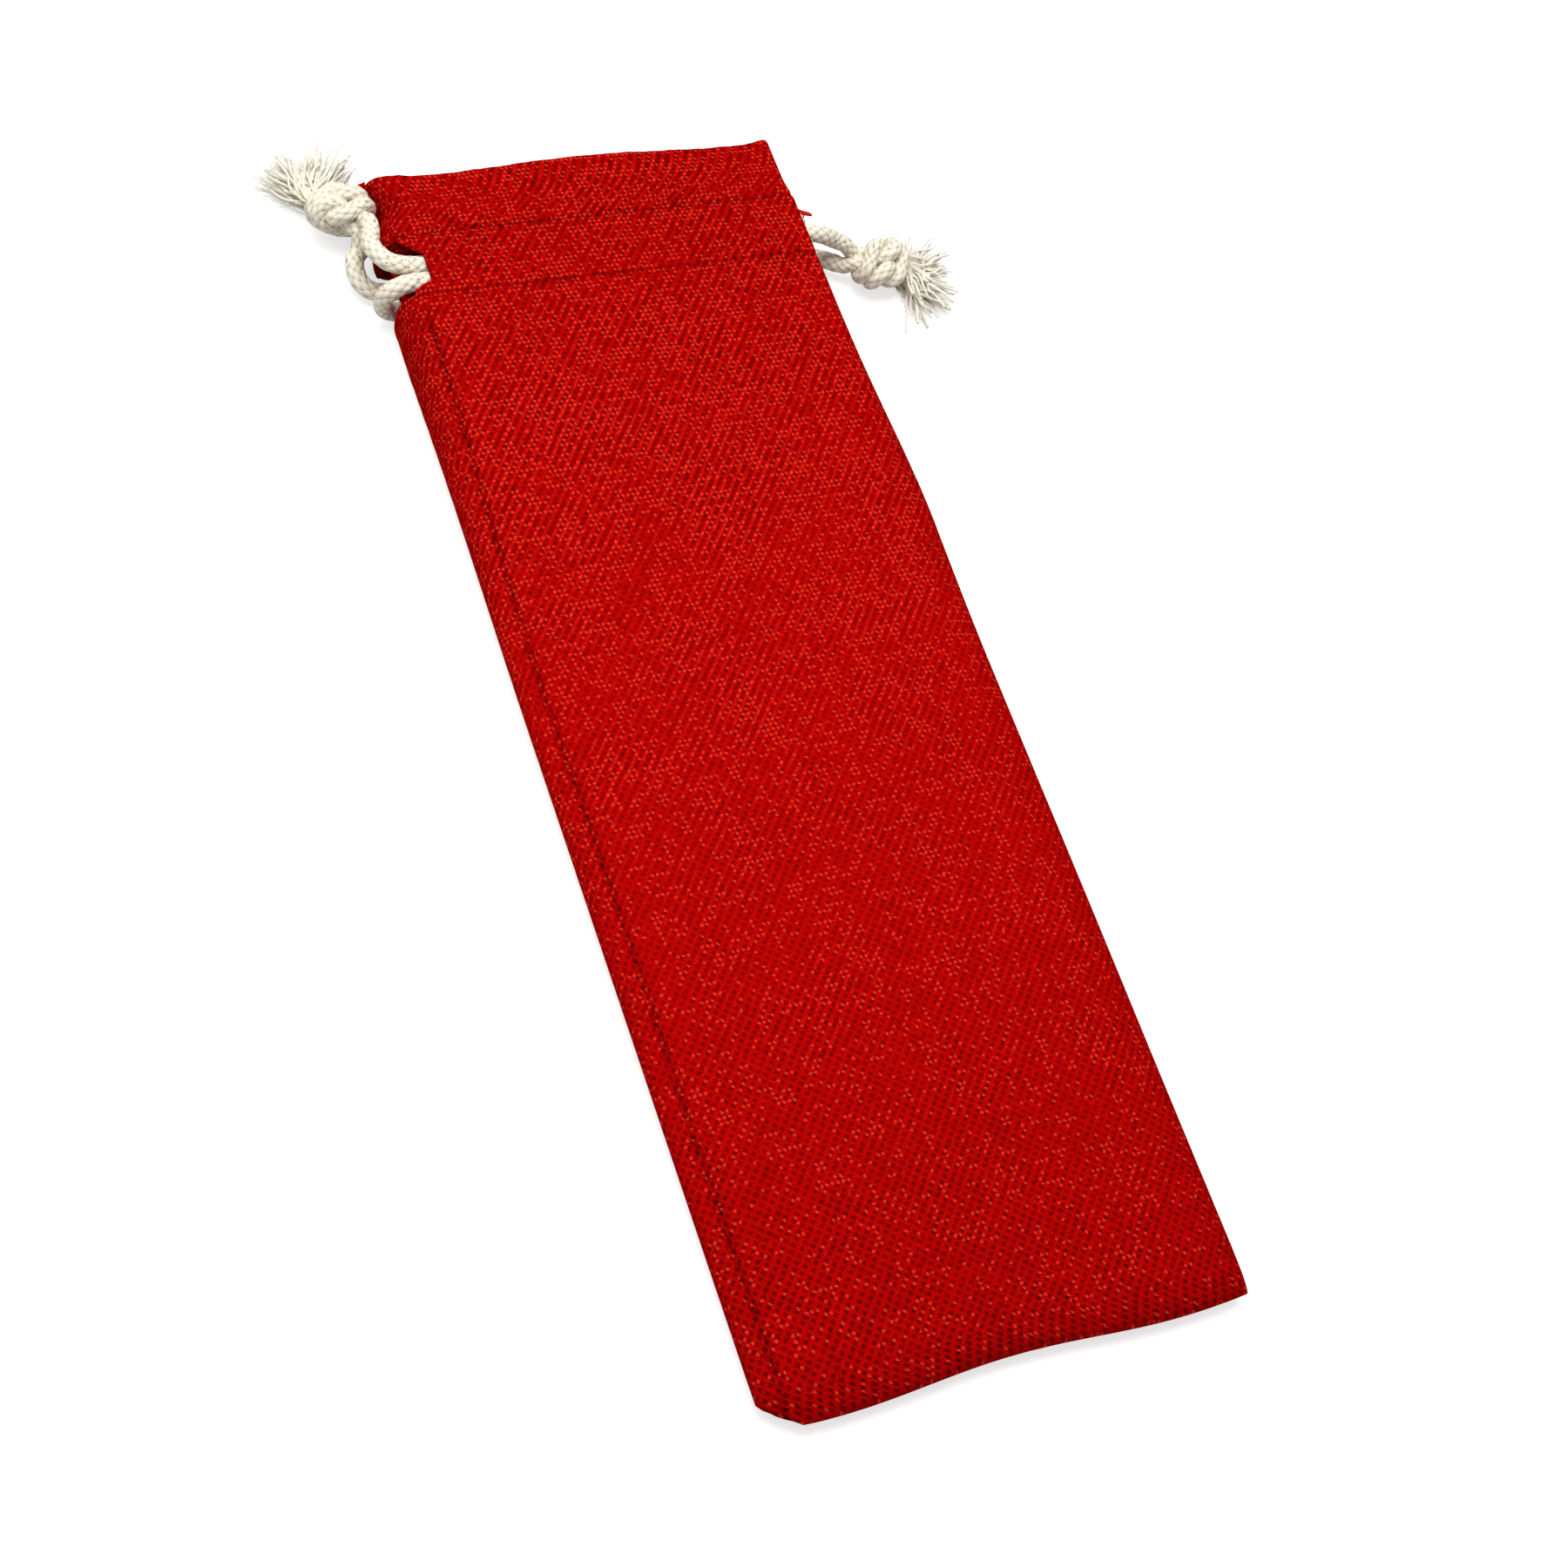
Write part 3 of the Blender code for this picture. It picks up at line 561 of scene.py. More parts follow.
@dataclass(frozen=True)
class BraidedCotton:
    """Ivory braided cotton cord with a few short dark flecks in its yarns."""

    around: int = 6
    pitch: float = 2.1 * MM
    girth: float = 11.0 * MM
    shaded: Colour = (0.40, 0.335, 0.225)
    plain: Colour = (0.85, 0.80, 0.665)
    fleck: Colour = (0.050, 0.060, 0.035)
    rust: Colour = (0.22, 0.085, 0.030)
    fleck_size: tuple[float, float] = (0.62 * MM, 1.05 * MM)

    def build(self, name: str = "ivory_cotton_braid") -> bpy.types.Material:
        """Makes the material, which follows the map of the cord's lay."""
        graph = Graph(name)
        turn, length = graph.uv(LAY_MAP)
        round_at = graph.times(turn, float(self.around))
        along_at = graph.times(length, 1 / self.pitch)
        height, _, one, two = graph.weave(
            graph.plus(round_at, along_at), graph.calc("SUBTRACT", round_at, along_at)
        )
        skin = graph.vector(graph.times(turn, self.girth), length)
        fluff = graph.noise(skin, 2600.0, 3.0)
        yarn = graph.chance(graph.vector(one, two, 3.0))
        shade = graph.fused(graph.span(height, 0.0, 0.8), 0.52, 0.04)
        shade = graph.fused(fluff, 0.42, shade)
        shade = graph.fused(yarn, 0.16, shade)
        colour = graph.mix(graph.span(shade, 0.15, 0.85), self.shaded, self.plain)
        spots = graph.nodes.new("ShaderNodeTexVoronoi")
        spots.inputs["Scale"].default_value = 1.0
        across, lengthwise = self.fleck_size
        squeezed = graph.vector(graph.times(turn, self.girth / across), graph.times(length, 1 / lengthwise))
        graph.links.new(squeezed, spots.inputs["Vector"])
        pick, hue, _ = graph.parts(spots.outputs["Color"])
        rare = graph.calc("GREATER_THAN", pick, 0.74)
        small = graph.span(spots.outputs["Distance"], 0.16, 0.30, 1.0, 0.0)
        tint = graph.mix(graph.calc("GREATER_THAN", hue, 0.6), self.fleck, self.rust)
        colour = graph.mix(graph.times(graph.times(rare, small), 0.85), colour, tint)
        graph.bump(graph.fused(fluff, 0.5, height), 0.22 * MM)
        return graph.finish(colour, 0.9, 0.05)


@dataclass(frozen=True)
class LooseCotton:
    """Fine undyed cotton fibres."""

    name: str = "loose_cotton_fibre"
    root: Colour = (0.72, 0.645, 0.475)
    tip: Colour = (0.80, 0.765, 0.66)

    def build(self) -> bpy.types.Material:
        """Makes the material, a little creamier towards the fibres' roots."""
        graph = Graph(self.name)
        turn, length = graph.uv(LAY_MAP)
        place = graph.vector(turn, graph.times(length, 400.0))
        streak = graph.noise(place, 1.5, 2.0)
        towards_tip = graph.span(graph.fused(streak, 6 * MM, length), 2 * MM, 11 * MM)
        return graph.finish(graph.mix(towards_tip, self.root, self.tip), 0.9, 0.1)


@dataclass(frozen=True)
class SewingThread:
    """Twisted red sewing thread."""

    colour: Colour = (0.40, 0.006, 0.005)
    lit: Colour = (0.62, 0.020, 0.014)

    def build(self, name: str = "red_thread") -> bpy.types.Material:
        """Makes the material from the place in the object."""
        graph = Graph(name)
        fuzz = graph.noise(graph.object_place(), 2400.0, 2.0)
        graph.bump(fuzz, 0.08 * MM)
        return graph.finish(graph.mix(fuzz, self.colour, self.lit), 0.7, 0.05)


# ---- the pouch ----


class Layer(Enum):
    """Which face of the sewn cloth a ring of points belongs to."""

    OUTSIDE = "outside"
    INSIDE = "inside"


@dataclass
class PouchForm:
    """The form that the sewn cloth lies in, in metres."""

    width: float = 90 * MM
    length: float = 250 * MM
    cloth: float = 0.8 * MM
    body_height: float = 9 * MM
    channel_half: float = 2.05 * MM
    neck_gap: float = 4.4 * MM
    frill: float = 14.6 * MM
    casing: float = 14 * MM
    mouth_setback: float = 7 * MM
    seam_rise: float = 1.6 * MM
    frill_drop: float = 1.9 * MM
    neck_slope: float = 90 * MM
    puff_body: float = 10 * MM
    puff_casing: tuple[float, float] = (5 * MM, 1.5 * MM)
    puff_mouth: tuple[float, float] = (5 * MM, 2.2 * MM)
    puff_bottom: float = 9 * MM
    knot_dent: float = 3.6 * MM
    knot_dent_y: float = 112 * MM
    knot_dent_half: float = 9 * MM
    mouth_draw: float = 4.4 * MM
    casing_draw: float = 5.4 * MM
    flat_underside: float = 1.35
    left_corner_cut: float = 6.3 * MM
    left_corner_run: float = 4.2 * MM
    right_corner_cut: float = 0.4 * MM
    corner_lift: float = 0.6 * MM
    corner_drops: tuple[float, float] = (1.9 * MM, 1.4 * MM)
    side_seam_inset: float = 3.6 * MM
    groove_depth: float = 0.75 * MM
    groove_half: float = 0.9 * MM
    mouth_wave: float = 0.6 * MM
    bottom_wave: float = 0.8 * MM
    wave_pitch: float = 63 * MM
    mouth_rough: float = 0.09 * MM
    ripple_height: float = 0.25 * MM
    turn_inset: float = 3 * MM
    stitch_dent: float = 0.20 * MM
    stitch_dent_half: float = 0.7 * MM
    pucker: float = 0.17 * MM
    pucker_reach: float = 3.4 * MM
    side_pucker: float = 1.2
    drawn_run: float = 60 * MM
    body_taper: float = 0.07
    least_puff: float = 0.6 * MM
    least_fullness: float = 0.12
    corner_flare: float = 0.03

    def __post_init__(self) -> None:
        """Works out the places that follow from the sizes."""
        self.half = self.width / 2
        self.bottom_y = -self.length / 2
        self.mouth_y = self.length / 2 - self.mouth_setback
        self.upper_seam = self.mouth_y - self.frill
        self.lower_seam = self.upper_seam - self.casing
        self.casing_y = (self.upper_seam + self.lower_seam) / 2
        self.hem = 2 * self.cloth
        self.back_cord_z = self.cloth + self.channel_half
        self.neck_low = self.back_cord_z + self.channel_half + self.cloth
        self.front_cord_z = self.neck_low + self.neck_gap + self.cloth + self.channel_half
        self.height = self.front_cord_z + self.channel_half + self.cloth

    def bulge(self, y: float, margin: float = 0.0) -> float:
        """How far the casing is filled at this y, from 0 at its seams to 1 in the middle."""
        reach = abs(y - self.casing_y) / (self.casing / 2 - margin)
        return math.sqrt(max(0.0, 1 - reach**6))

    def lean(self, y: float, z: float) -> float:
        """The back wall runs on further towards the mouth than the front wall."""
        ramp = max(0.0, (y - self.lower_seam) / (self.mouth_y - self.lower_seam))
        return y + self.mouth_setback * ramp * (1 - z / self.height)

    def channel_z(self, y: float, cord_z: float, outward: int, margin: float = 0.0) -> float:
        """Height of the middle of a channel, nearer the outside at the two seams."""
        return cord_z + outward * self.seam_rise * (1 - self.bulge(y, margin))

    def front_z(self, y: float) -> float:
        """Height of the front face in the middle of the pouch."""
        seam = self.front_cord_z + self.seam_rise + self.cloth
        if y >= self.upper_seam:
            return seam - self.frill_drop * smooth(y, self.upper_seam, self.mouth_y)
        if y >= self.lower_seam:
            return self.channel_z(y, self.front_cord_z, 1) + self.cloth + self.channel_half * self.bulge(y)
        body = self.body_height * (1.0 - self.body_taper * smooth(-y, 0.0, 0.11))
        return blend(body, seam, smooth(y, self.lower_seam - self.neck_slope, self.lower_seam))

    def back_z(self, y: float) -> float:
        """Height of the back face in the middle of the pouch."""
        seam = self.back_cord_z - self.seam_rise - self.cloth
        if y >= self.upper_seam:
            return seam * (1 - smooth(y, self.upper_seam, self.upper_seam + 0.009))
        if y >= self.lower_seam:
            return self.channel_z(y, self.back_cord_z, -1) - self.cloth - self.channel_half * self.bulge(y)
        return seam * (1 - smooth(-y, -self.lower_seam, -self.lower_seam + 0.008))

    def wall(self, y: float) -> float:
        """Thickness of the walls: hem, casing with its channel, or one cloth."""
        if y >= self.upper_seam:
            return self.hem
        if y >= self.lower_seam:
            return self.hem + 2 * self.channel_half * self.bulge(y)
        return blend(self.cloth, self.hem, smooth(y, self.lower_seam - 0.0015, self.lower_seam))

    def side_wall(self, y: float) -> float:
        """Thickness of the sides, more in the casing, where a cord turns round the inner cloth."""
        off, half = abs(y - self.casing_y), self.casing / 2
        turn = self.turn_inset * (1 - smooth(off, half - 0.0011, half + 0.002))
        return blend(self.cloth, self.hem, smooth(y, self.upper_seam - 0.001, self.upper_seam + 0.001)) + turn

    def left_edge(self, y: float) -> float:
        """Half the width at the left, with a dent where the knot presses on the side."""
        return self.half - self.knot_dent * (1 - smooth(abs(y - self.knot_dent_y), 0.0, self.knot_dent_half))

    def right_edge(self, y: float) -> float:
        """Half the width at the right, drawn in at the casing."""
        drawn = self.casing_draw * smooth(y, self.lower_seam - self.drawn_run, self.lower_seam + 0.004)
        back = (self.casing_draw - self.mouth_draw) * smooth(y, self.upper_seam, self.mouth_y)
        return self.half - drawn + back

    def puffs(self, y: float) -> tuple[float, float]:
        """How wide the rounded edge is at the left and at the right."""
        near = smooth(y, self.lower_seam - self.drawn_run, self.lower_seam)
        frill = smooth(y, self.upper_seam, self.upper_seam + 0.005)
        left, right = (
            blend(blend(self.puff_body, casing, near), mouth, frill)
            for casing, mouth in zip(self.puff_casing, self.puff_mouth)
        )
        return left, right

    def edge_wave(self, x: float, y: float) -> float:
        """The slow wave of the mouth's edge and of the bottom fold."""
        wave = math.cos(2 * math.pi * x / self.wave_pitch)
        mouth = self.mouth_wave * smooth(y, self.upper_seam + 0.002, self.mouth_y)
        rough = self.mouth_rough * smooth(y, self.mouth_y - 0.002, self.mouth_y - 0.0005)
        rough *= math.sin(2150 * x) + 0.8 * math.sin(1330 * x + 1.1) + 0.7 * math.sin(610 * x + 2.3)
        left_drop, right_drop = self.corner_drops
        corners = self.corner_lift * smooth(abs(x), 0.033, 0.038)
        corners -= left_drop * smooth(-x, 0.0415, 0.0450) + right_drop * smooth(x, 0.0385, 0.0412)
        corners *= smooth(y, self.mouth_y - 0.008, self.mouth_y)
        return wave * (mouth + self.bottom_wave * smooth(-y, 0.108, -self.bottom_y)) + rough + corners

    def ripple(self, x: float, y: float) -> float:
        """Slow unevenness of the cloth over the body."""
        share = smooth(-y, -self.lower_seam + 0.004, -self.lower_seam + 0.03)
        share *= smooth(y, self.bottom_y + 0.006, self.bottom_y + 0.03)
        waves = math.sin(95 * x + 41 * y + 0.6) + 0.7 * math.sin(-60 * x + 83 * y + 2.1)
        return self.ripple_height * share * waves

    def sewn(self, x: float, y: float) -> float:
        """How the rows of stitches dent and pucker the cloth beside them.

        Args:
            x: The place across the pouch.
            y: The place along it.

        Returns:
            The height to add, mostly below zero.
        """
        height = 0.0
        for row in (self.upper_seam, self.lower_seam):
            off = abs(y - row)
            dent = max(0.0, 1 - off / self.stitch_dent_half)
            folds = math.sin(1520 * x + 1.3 * math.sin(210 * x + 40 * row))
            folds += 0.6 * math.sin(930 * x + 500 * row)
            height += self.pucker * folds * self.near_row(off, 0.8 * MM)
            height -= self.stitch_dent * dent * dent
        side = abs(x + self.half - self.side_seam_inset)
        if y < self.lower_seam - 0.002:
            folds = math.sin(1180 * y + 1.1 * math.sin(170 * y)) + 0.5 * math.sin(700 * y + 1.0)
            fade = smooth(y, self.bottom_y, self.bottom_y + 0.01)
            height += self.side_pucker * self.pucker * fade * folds * self.near_row(side, 1.0 * MM)
        return height

    def near_row(self, off: float, flat: float) -> float:
        """How strongly a row of stitches puckers the cloth this far off it, less on the row itself."""
        return math.exp(-((off / self.pucker_reach) ** 2)) * min(1.0, off / flat)

    @staticmethod
    def rounding(inset: float, puff: float) -> float:
        """Height share of a rounded edge, from 0 on the edge to 1 past the puff."""
        if inset >= puff:
            return 1.0
        return math.sqrt(1 - ((puff - inset) / puff) ** 2)

    def edges(self, y: float, layer: Layer) -> tuple[float, float, float, float, float]:
        """The two edges, the two puffs and the fullness of a cross-section.

        Args:
            y: The place along the pouch.
            layer: The outside or the inside of the cloth.

        Returns:
            The left and the right edge, the left and the right puff, and the fullness.
        """
        inner = layer is Layer.INSIDE
        side = self.side_wall(y) if inner else 0.0
        end = self.bottom_y + (self.cloth if inner else 0.0)
        run = self.puff_bottom - (self.cloth if inner else 0.0)
        fullness = math.sqrt(max(0.0, 1 - max(0.0, (end + run - y) / run) ** 2))
        corner = min(1.0, max(0.0, (end + self.left_corner_run - y) / self.left_corner_run))
        cut = corner + self.corner_flare * math.sin(3 * math.pi * corner)
        left = self.left_edge(y) - side - self.left_corner_cut * cut
        right = self.right_edge(y) - side - self.right_corner_cut * (1 - math.sqrt(1 - corner**2))
        puff_left, puff_right = (max(self.least_puff, puff - side) for puff in self.puffs(y))
        return left, right, puff_left, puff_right, max(self.least_fullness, fullness)

    def section(self, x: float, y: float, layer: Layer) -> tuple[float, float, float, float]:
        """What the front and the back wall share at one place.

        Args:
            x: The place across the pouch.
            y: The place along it.
            layer: The outside or the inside of the cloth.

        Returns:
            The height's share at x, the fullness, the wall's thickness and the height between the walls.
        """
        left, right, puff_left, puff_right, fullness = self.edges(y, layer)
        at_left = self.rounding(max(0.0, x + left), puff_left)
        at_right = self.rounding(max(0.0, right - x), puff_right)
        thick = self.wall(y) if layer is Layer.INSIDE else 0.0
        return min(at_left, at_right), fullness, thick, (self.front_z(y) + self.back_z(y)) / 2

    def groove(self, x: float, y: float) -> float:
        """How deep the left side seam pulls the front in."""
        off = abs(x + self.left_edge(y) - self.side_seam_inset)
        depth = self.groove_depth * max(0.0, 1 - off / self.groove_half)
        depth *= smooth(-y, -self.lower_seam, -self.lower_seam + 0.004)
        return depth * smooth(y, self.bottom_y, self.bottom_y + 0.006)

    def front_point(self, x: float, y: float, layer: Layer = Layer.OUTSIDE) -> Vector:
        """A point of the front wall."""
        share, fullness, thick, middle = self.section(x, y, layer)
        rise = self.front_z(y) - thick - middle + self.ripple(x, y)
        z = middle + rise * share * fullness - self.groove(x, y)
        if layer is Layer.OUTSIDE:
            z += self.sewn(x, y) * share * fullness
        return Vector((x, self.lean(y, z) + self.edge_wave(x, y), z))

    def back_point(self, x: float, y: float, layer: Layer = Layer.OUTSIDE) -> Vector:
        """A point of the back wall."""
        share, fullness, thick, middle = self.section(x, y, layer)
        share = min(1.0, self.flat_underside * share) * fullness
        z = middle - (middle - self.back_z(y) - thick) * share
        if layer is Layer.OUTSIDE:
            z = max(0.0, z - self.sewn(x, y) * share)
        return Vector((x, self.lean(y, z) + self.edge_wave(x, y), z))


@dataclass
class PouchCloth:
    """The sewn cloth of the pouch, inside and out, with its channels and slits."""

    form: PouchForm
    front_lips: tuple[float, float] = (6.5 * MM, 1.1 * MM)
    back_lips: tuple[float, float] = (4.5 * MM, 1.8 * MM)
    front_left_lip_ends: tuple[float, float] = (-0.66, 0.40)
    slit_margin: float = 0.4 * MM
    slit_full_width: float = 2.2 * MM
    # How far the grain shifts across, for each metre along and for each metre squared
    grain_shift: tuple[float, float] = (0.1715, 0.1285)
    # How far in from each edge the points of a ring lie, in millimetres
    insets: tuple[float, ...] = (
        0, 0.06, 0.15, 0.3, 0.5, 0.75, 1.05, 1.4, 1.8, 2.2, 2.6, 2.9, 3.2, 3.4, 3.6, 3.8, 4.0, 4.3, 4.7, 5.2, 5.8,
        6.5, 7.3, 8.2, 9.2, 10.3, 11.5, 12.7, 13.9, 15.1, 16.3, 17.5, 18.7, 19.9, 21.1, 22.3, 23.5, 24.7, 25.9,
        27.1, 28.3, 29.5, 30.7, 31.9, 33.1, 34.3, 35.5, 36.7, 37.9,
    )  # fmt: skip

    def stations(self, layer: Layer) -> list[float]:
        """Places along the pouch, close together where the form turns.

        Args:
            layer: The outside or the inside of the cloth, which needs fewer.

        Returns:
            The places, from the mouth to the bottom.
        """
        form = self.form
        fine = 1.0 if layer is Layer.OUTSIDE else 3.0
        ends = [form.mouth_y - 0.5 * MM, form.upper_seam + 1.2 * MM]
        places = list(np.linspace(*ends, int(17 / fine)))
        seam_steps = [1.0, 0.6, 0.3, 0.0, -0.3, -0.6, -1.0] if fine == 1.0 else [0.6, 0.0, -0.6]
        middle = np.linspace(form.upper_seam - 1.5 * MM, form.lower_seam + 1.5 * MM, int(22 / fine))
        places += [form.upper_seam + step * MM for step in seam_steps]
        places += list(middle)
        places += [form.lower_seam + step * MM for step in seam_steps]
        places += list(np.linspace(form.lower_seam - 1.5 * MM, form.lower_seam - 30 * MM, int(26 / fine)))
        places += list(np.linspace(form.lower_seam - 32 * MM, form.bottom_y + 22 * MM, int(76 / fine)))
        end = form.bottom_y + (form.cloth if layer is Layer.INSIDE else 0.0)
        steps = (20, 17, 14, 11.5, 9.5, 8, 6.8, 5.7, 4.7, 3.8, 3, 2.3, 1.7, 1.2, 0.8, 0.4, 0.15, 0.0)
        return places + [end + step * MM for step in steps[:: int(fine)]] + ([end] if fine != 1.0 else [])

    def front_count(self) -> int:
        """How many points of a ring are on the front, both edges included."""
        return 2 * len(self.insets) + 1

    def across(self, y: float, layer: Layer) -> list[float]:
        """The places across the pouch at one station, from left to right."""
        left, right, *_ = self.form.edges(y, layer)
        middle = (right - left) / 2
        lefts = [-left + inset * MM for inset in self.insets]
        rights = [right - inset * MM for inset in self.insets]
        return lefts + [middle] + rights[::-1]

    def ring(self, y: float, layer: Layer) -> list[Vector]:
        """One ring of points round the pouch: along the front, and back along the underside."""
        places = self.across(y, layer)
        front = [self.form.front_point(x, y, layer) for x in places]
        back = [self.form.back_point(x, y, layer) for x in places[1:-1]]
        return front + back[::-1]

    def grain(self, ring: Sequence[Vector], y: float) -> tuple[Places, Places]:
        """The map of the cloth's grain round one ring, for its front and for its back.

        Args:
            ring: The ring's points.
            y: Its station.

        Returns:
            A map point for each point of the front, and for each of the back, both from left to right.
        """
        count = self.front_count()
        slope, curve = self.grain_shift
        shift = slope * y + curve * y * y
        rows = []
        for points in (ring[:count], [ring[0]] + list(ring[count:])[::-1] + [ring[count - 1]]):
            steps = [0.0] + [(b - a).length for a, b in zip(points, points[1:])]
            walked = np.cumsum(steps)
            walked -= walked[count // 2]
            rows.append([(float(w) + shift, y) for w in walked])
        return rows[0], rows[1]

    def build(self, finish: bpy.types.Material) -> bpy.types.Object:
        """Makes the cloth and cuts its channels and slits.

        Args:
            finish: The red cloth.

        Returns:
            The finished piece.
        """
        form = self.form
        mesh = bmesh.new()
        layer_map = mesh.loops.layers.uv.new(GRAIN_MAP)
        shells = []
        for layer in (Layer.OUTSIDE, Layer.INSIDE):
            rings, maps = [], []
            for y in self.stations(layer):
                points = self.ring(y, layer)
                rings.append([mesh.verts.new(p) for p in points])
                maps.append(self.grain(points, y))
            self.skin(mesh, layer_map, rings, maps, layer is Layer.INSIDE)
            shells.append((rings, maps))
        self.hem_round(mesh, layer_map, shells)
        bmesh.ops.recalc_face_normals(mesh, faces=mesh.faces)
        data = bpy.data.meshes.new("pouch_cloth")
        mesh.to_mesh(data)
        mesh.free()
        pouch = new_object("pouch_cloth", data, finish)
        left, right = -form.left_edge(form.casing_y), form.right_edge(form.casing_y)
        front, back = (form.front_cord_z, 2 * form.height), (-form.height, form.back_cord_z)
        between = (form.back_cord_z, form.front_cord_z)
        cutters = [
            self.channel("front_channel", form.front_cord_z, 1),
            self.channel("back_channel", form.back_cord_z, -1),
            self.slit("front_left_slit", left, self.front_lips[0], front, self.front_left_lip_ends),
            self.slit("front_right_slit", right, self.front_lips[1], front),
            self.slit("back_left_slit", left, self.back_lips[0], back),
            self.slit("back_right_slit", right, self.back_lips[1], back),
            self.slit("left_turn", left, form.turn_inset, between),
            self.slit("right_turn", right, form.turn_inset, between),
        ]
        for shape in cutters:
            cut = pouch.modifiers.new(shape.name, "BOOLEAN")
            cut.operation = "DIFFERENCE"
            cut.solver = "EXACT"
            cut.object = shape
        apply_modifiers(pouch)
        for shape in cutters:
            bpy.data.objects.remove(shape, do_unlink=True)
        pouch.data.shade_smooth()
        pouch.data.set_sharp_from_angle(angle=math.radians(50))
        return pouch

    def skin(self, mesh: bmesh.types.BMesh, layer_map: object, rings: list, maps: list, flip: bool) -> None:
        """Joins the rings of one shell into its skin and closes its bottom fold.

        Args:
            mesh: The mesh that the rings are in.
            layer_map: Its map of the grain.
            rings: The rings' points.
            maps: The grain's map for each ring.
            flip: Whether the faces turn inwards.
        """
        half = self.front_count()
        count = len(rings[0])

        def face(corners: list, places: list) -> None:
            """Adds one face with its place in the grain."""
            if flip:
                corners, places = corners[::-1], places[::-1]
            made = mesh.faces.new(corners)
            for loop, place in zip(made.loops, places):
                loop[layer_map].uv = place

        for one, two, map_one, map_two in zip(rings, rings[1:], maps, maps[1:]):
            for i in range(half - 1):
                face(
                    [one[i], one[i + 1], two[i + 1], two[i]],
                    [map_one[0][i], map_one[0][i + 1], map_two[0][i + 1], map_two[0][i]],
                )
            order = [0] + list(range(count - 1, half - 1, -1)) + [half - 1]
            for i, (a, b) in enumerate(zip(order, order[1:])):
                face(
                    [one[b], one[a], two[a], two[b]],
                    [map_one[1][i + 1], map_one[1][i], map_two[1][i], map_two[1][i + 1]],
                )
        last, last_map = rings[-1], maps[-1]
        front = last[:half]
        back = [last[0]] + last[half:][::-1] + [last[half - 1]]
        for i in range(half - 1):
            corners = [front[i], front[i + 1], back[i + 1], back[i]]
            places = [last_map[0][i], last_map[0][i + 1], last_map[0][i + 1], last_map[0][i]]
            kept = [k for k in range(4) if corners[k] not in corners[:k]]
            face([corners[k] for k in kept][::-1], [places[k] for k in kept][::-1])

    def hem_round(self, mesh: bmesh.types.BMesh, layer_map: object, shells: list) -> None:
        """Rounds the folded hem over the mouth, from the outside to the inside of the cloth."""
        (outer, outer_map), (inner, _) = shells
        half = self.front_count()
        depth = self.form.mouth_y - self.stations(Layer.OUTSIDE)[0]
        rows = [outer[0]]
        turns = 5
        for k in range(1, turns):
            angle = math.pi * k / turns
            row = []
            for out, into in zip(outer[0], inner[0]):
                middle = (out.co + into.co) / 2
                point = middle + (out.co - middle) * math.cos(angle) + Vector((0, depth * math.sin(angle), 0))
                row.append(mesh.verts.new(point))
            rows.append(row)
        rows.append(inner[0])
        count = len(outer[0])
        order = [0] + list(range(count - 1, half - 1, -1)) + [half - 1]
        front, back = outer_map[0]
        for k, (one, two) in enumerate(zip(rows, rows[1:])):
            for i in range(count):
                j = (i + 1) % count
                made = mesh.faces.new([one[j], one[i], two[i], two[j]])
                for loop, (index, step) in zip(made.loops, ((j, k), (i, k), (i, k + 1), (j, k + 1))):
                    place = front[index] if index < half and i < half - 1 else back[order.index(index)]
                    loop[layer_map].uv = (place[0], place[1] + 0.3 * MM * step)

    def cutter(self, name: str, rings: list[list[Vector]]) -> bpy.types.Object:
        """A closed cutting shape between two outlines, mapped flat for the faces that it leaves."""
        mesh = bmesh.new()
        layer_map = mesh.loops.layers.uv.new(GRAIN_MAP)
        first, second = ([mesh.verts.new(p) for p in ring] for ring in rings)
        for i in range(len(first)):
            j = (i + 1) % len(first)
            mesh.faces.new([first[i], first[j], second[j], second[i]])
        mesh.faces.new(first[::-1])
        mesh.faces.new(second)
        bmesh.ops.recalc_face_normals(mesh, faces=mesh.faces)
        for face in mesh.faces:
            for loop in face.loops:
                co = loop.vert.co
                loop[layer_map].uv = (co.x, co.y + co.z)
        data = bpy.data.meshes.new(name)
        mesh.to_mesh(data)
        mesh.free()
        obj = bpy.data.objects.new(name, data)
        bpy.context.scene.collection.objects.link(obj)
        return obj

    def channel(self, name: str, cord_z: float, outward: int) -> bpy.types.Object:
        """The space that one wall's two cords run in, right across the pouch."""
        form = self.form
        reach = form.casing / 2 - form.cloth
        places = [form.casing_y + reach * math.cos(math.pi * i / 16) for i in range(17)]
        middles = [form.channel_z(y, cord_z, outward, form.cloth) for y in places]
        halves = [form.channel_half * form.bulge(y, form.cloth) for y in places]
        upper = [(y, z + half) for y, z, half in zip(places, middles, halves)]
        lower = [(y, z - half) for y, z, half in zip(places, middles, halves)]
        outline = upper + lower[-2:0:-1]
        rings = [[Vector((x, form.lean(y, z), z)) for y, z in outline] for x in (-form.width, form.width)]
        return self.cutter(name, rings)

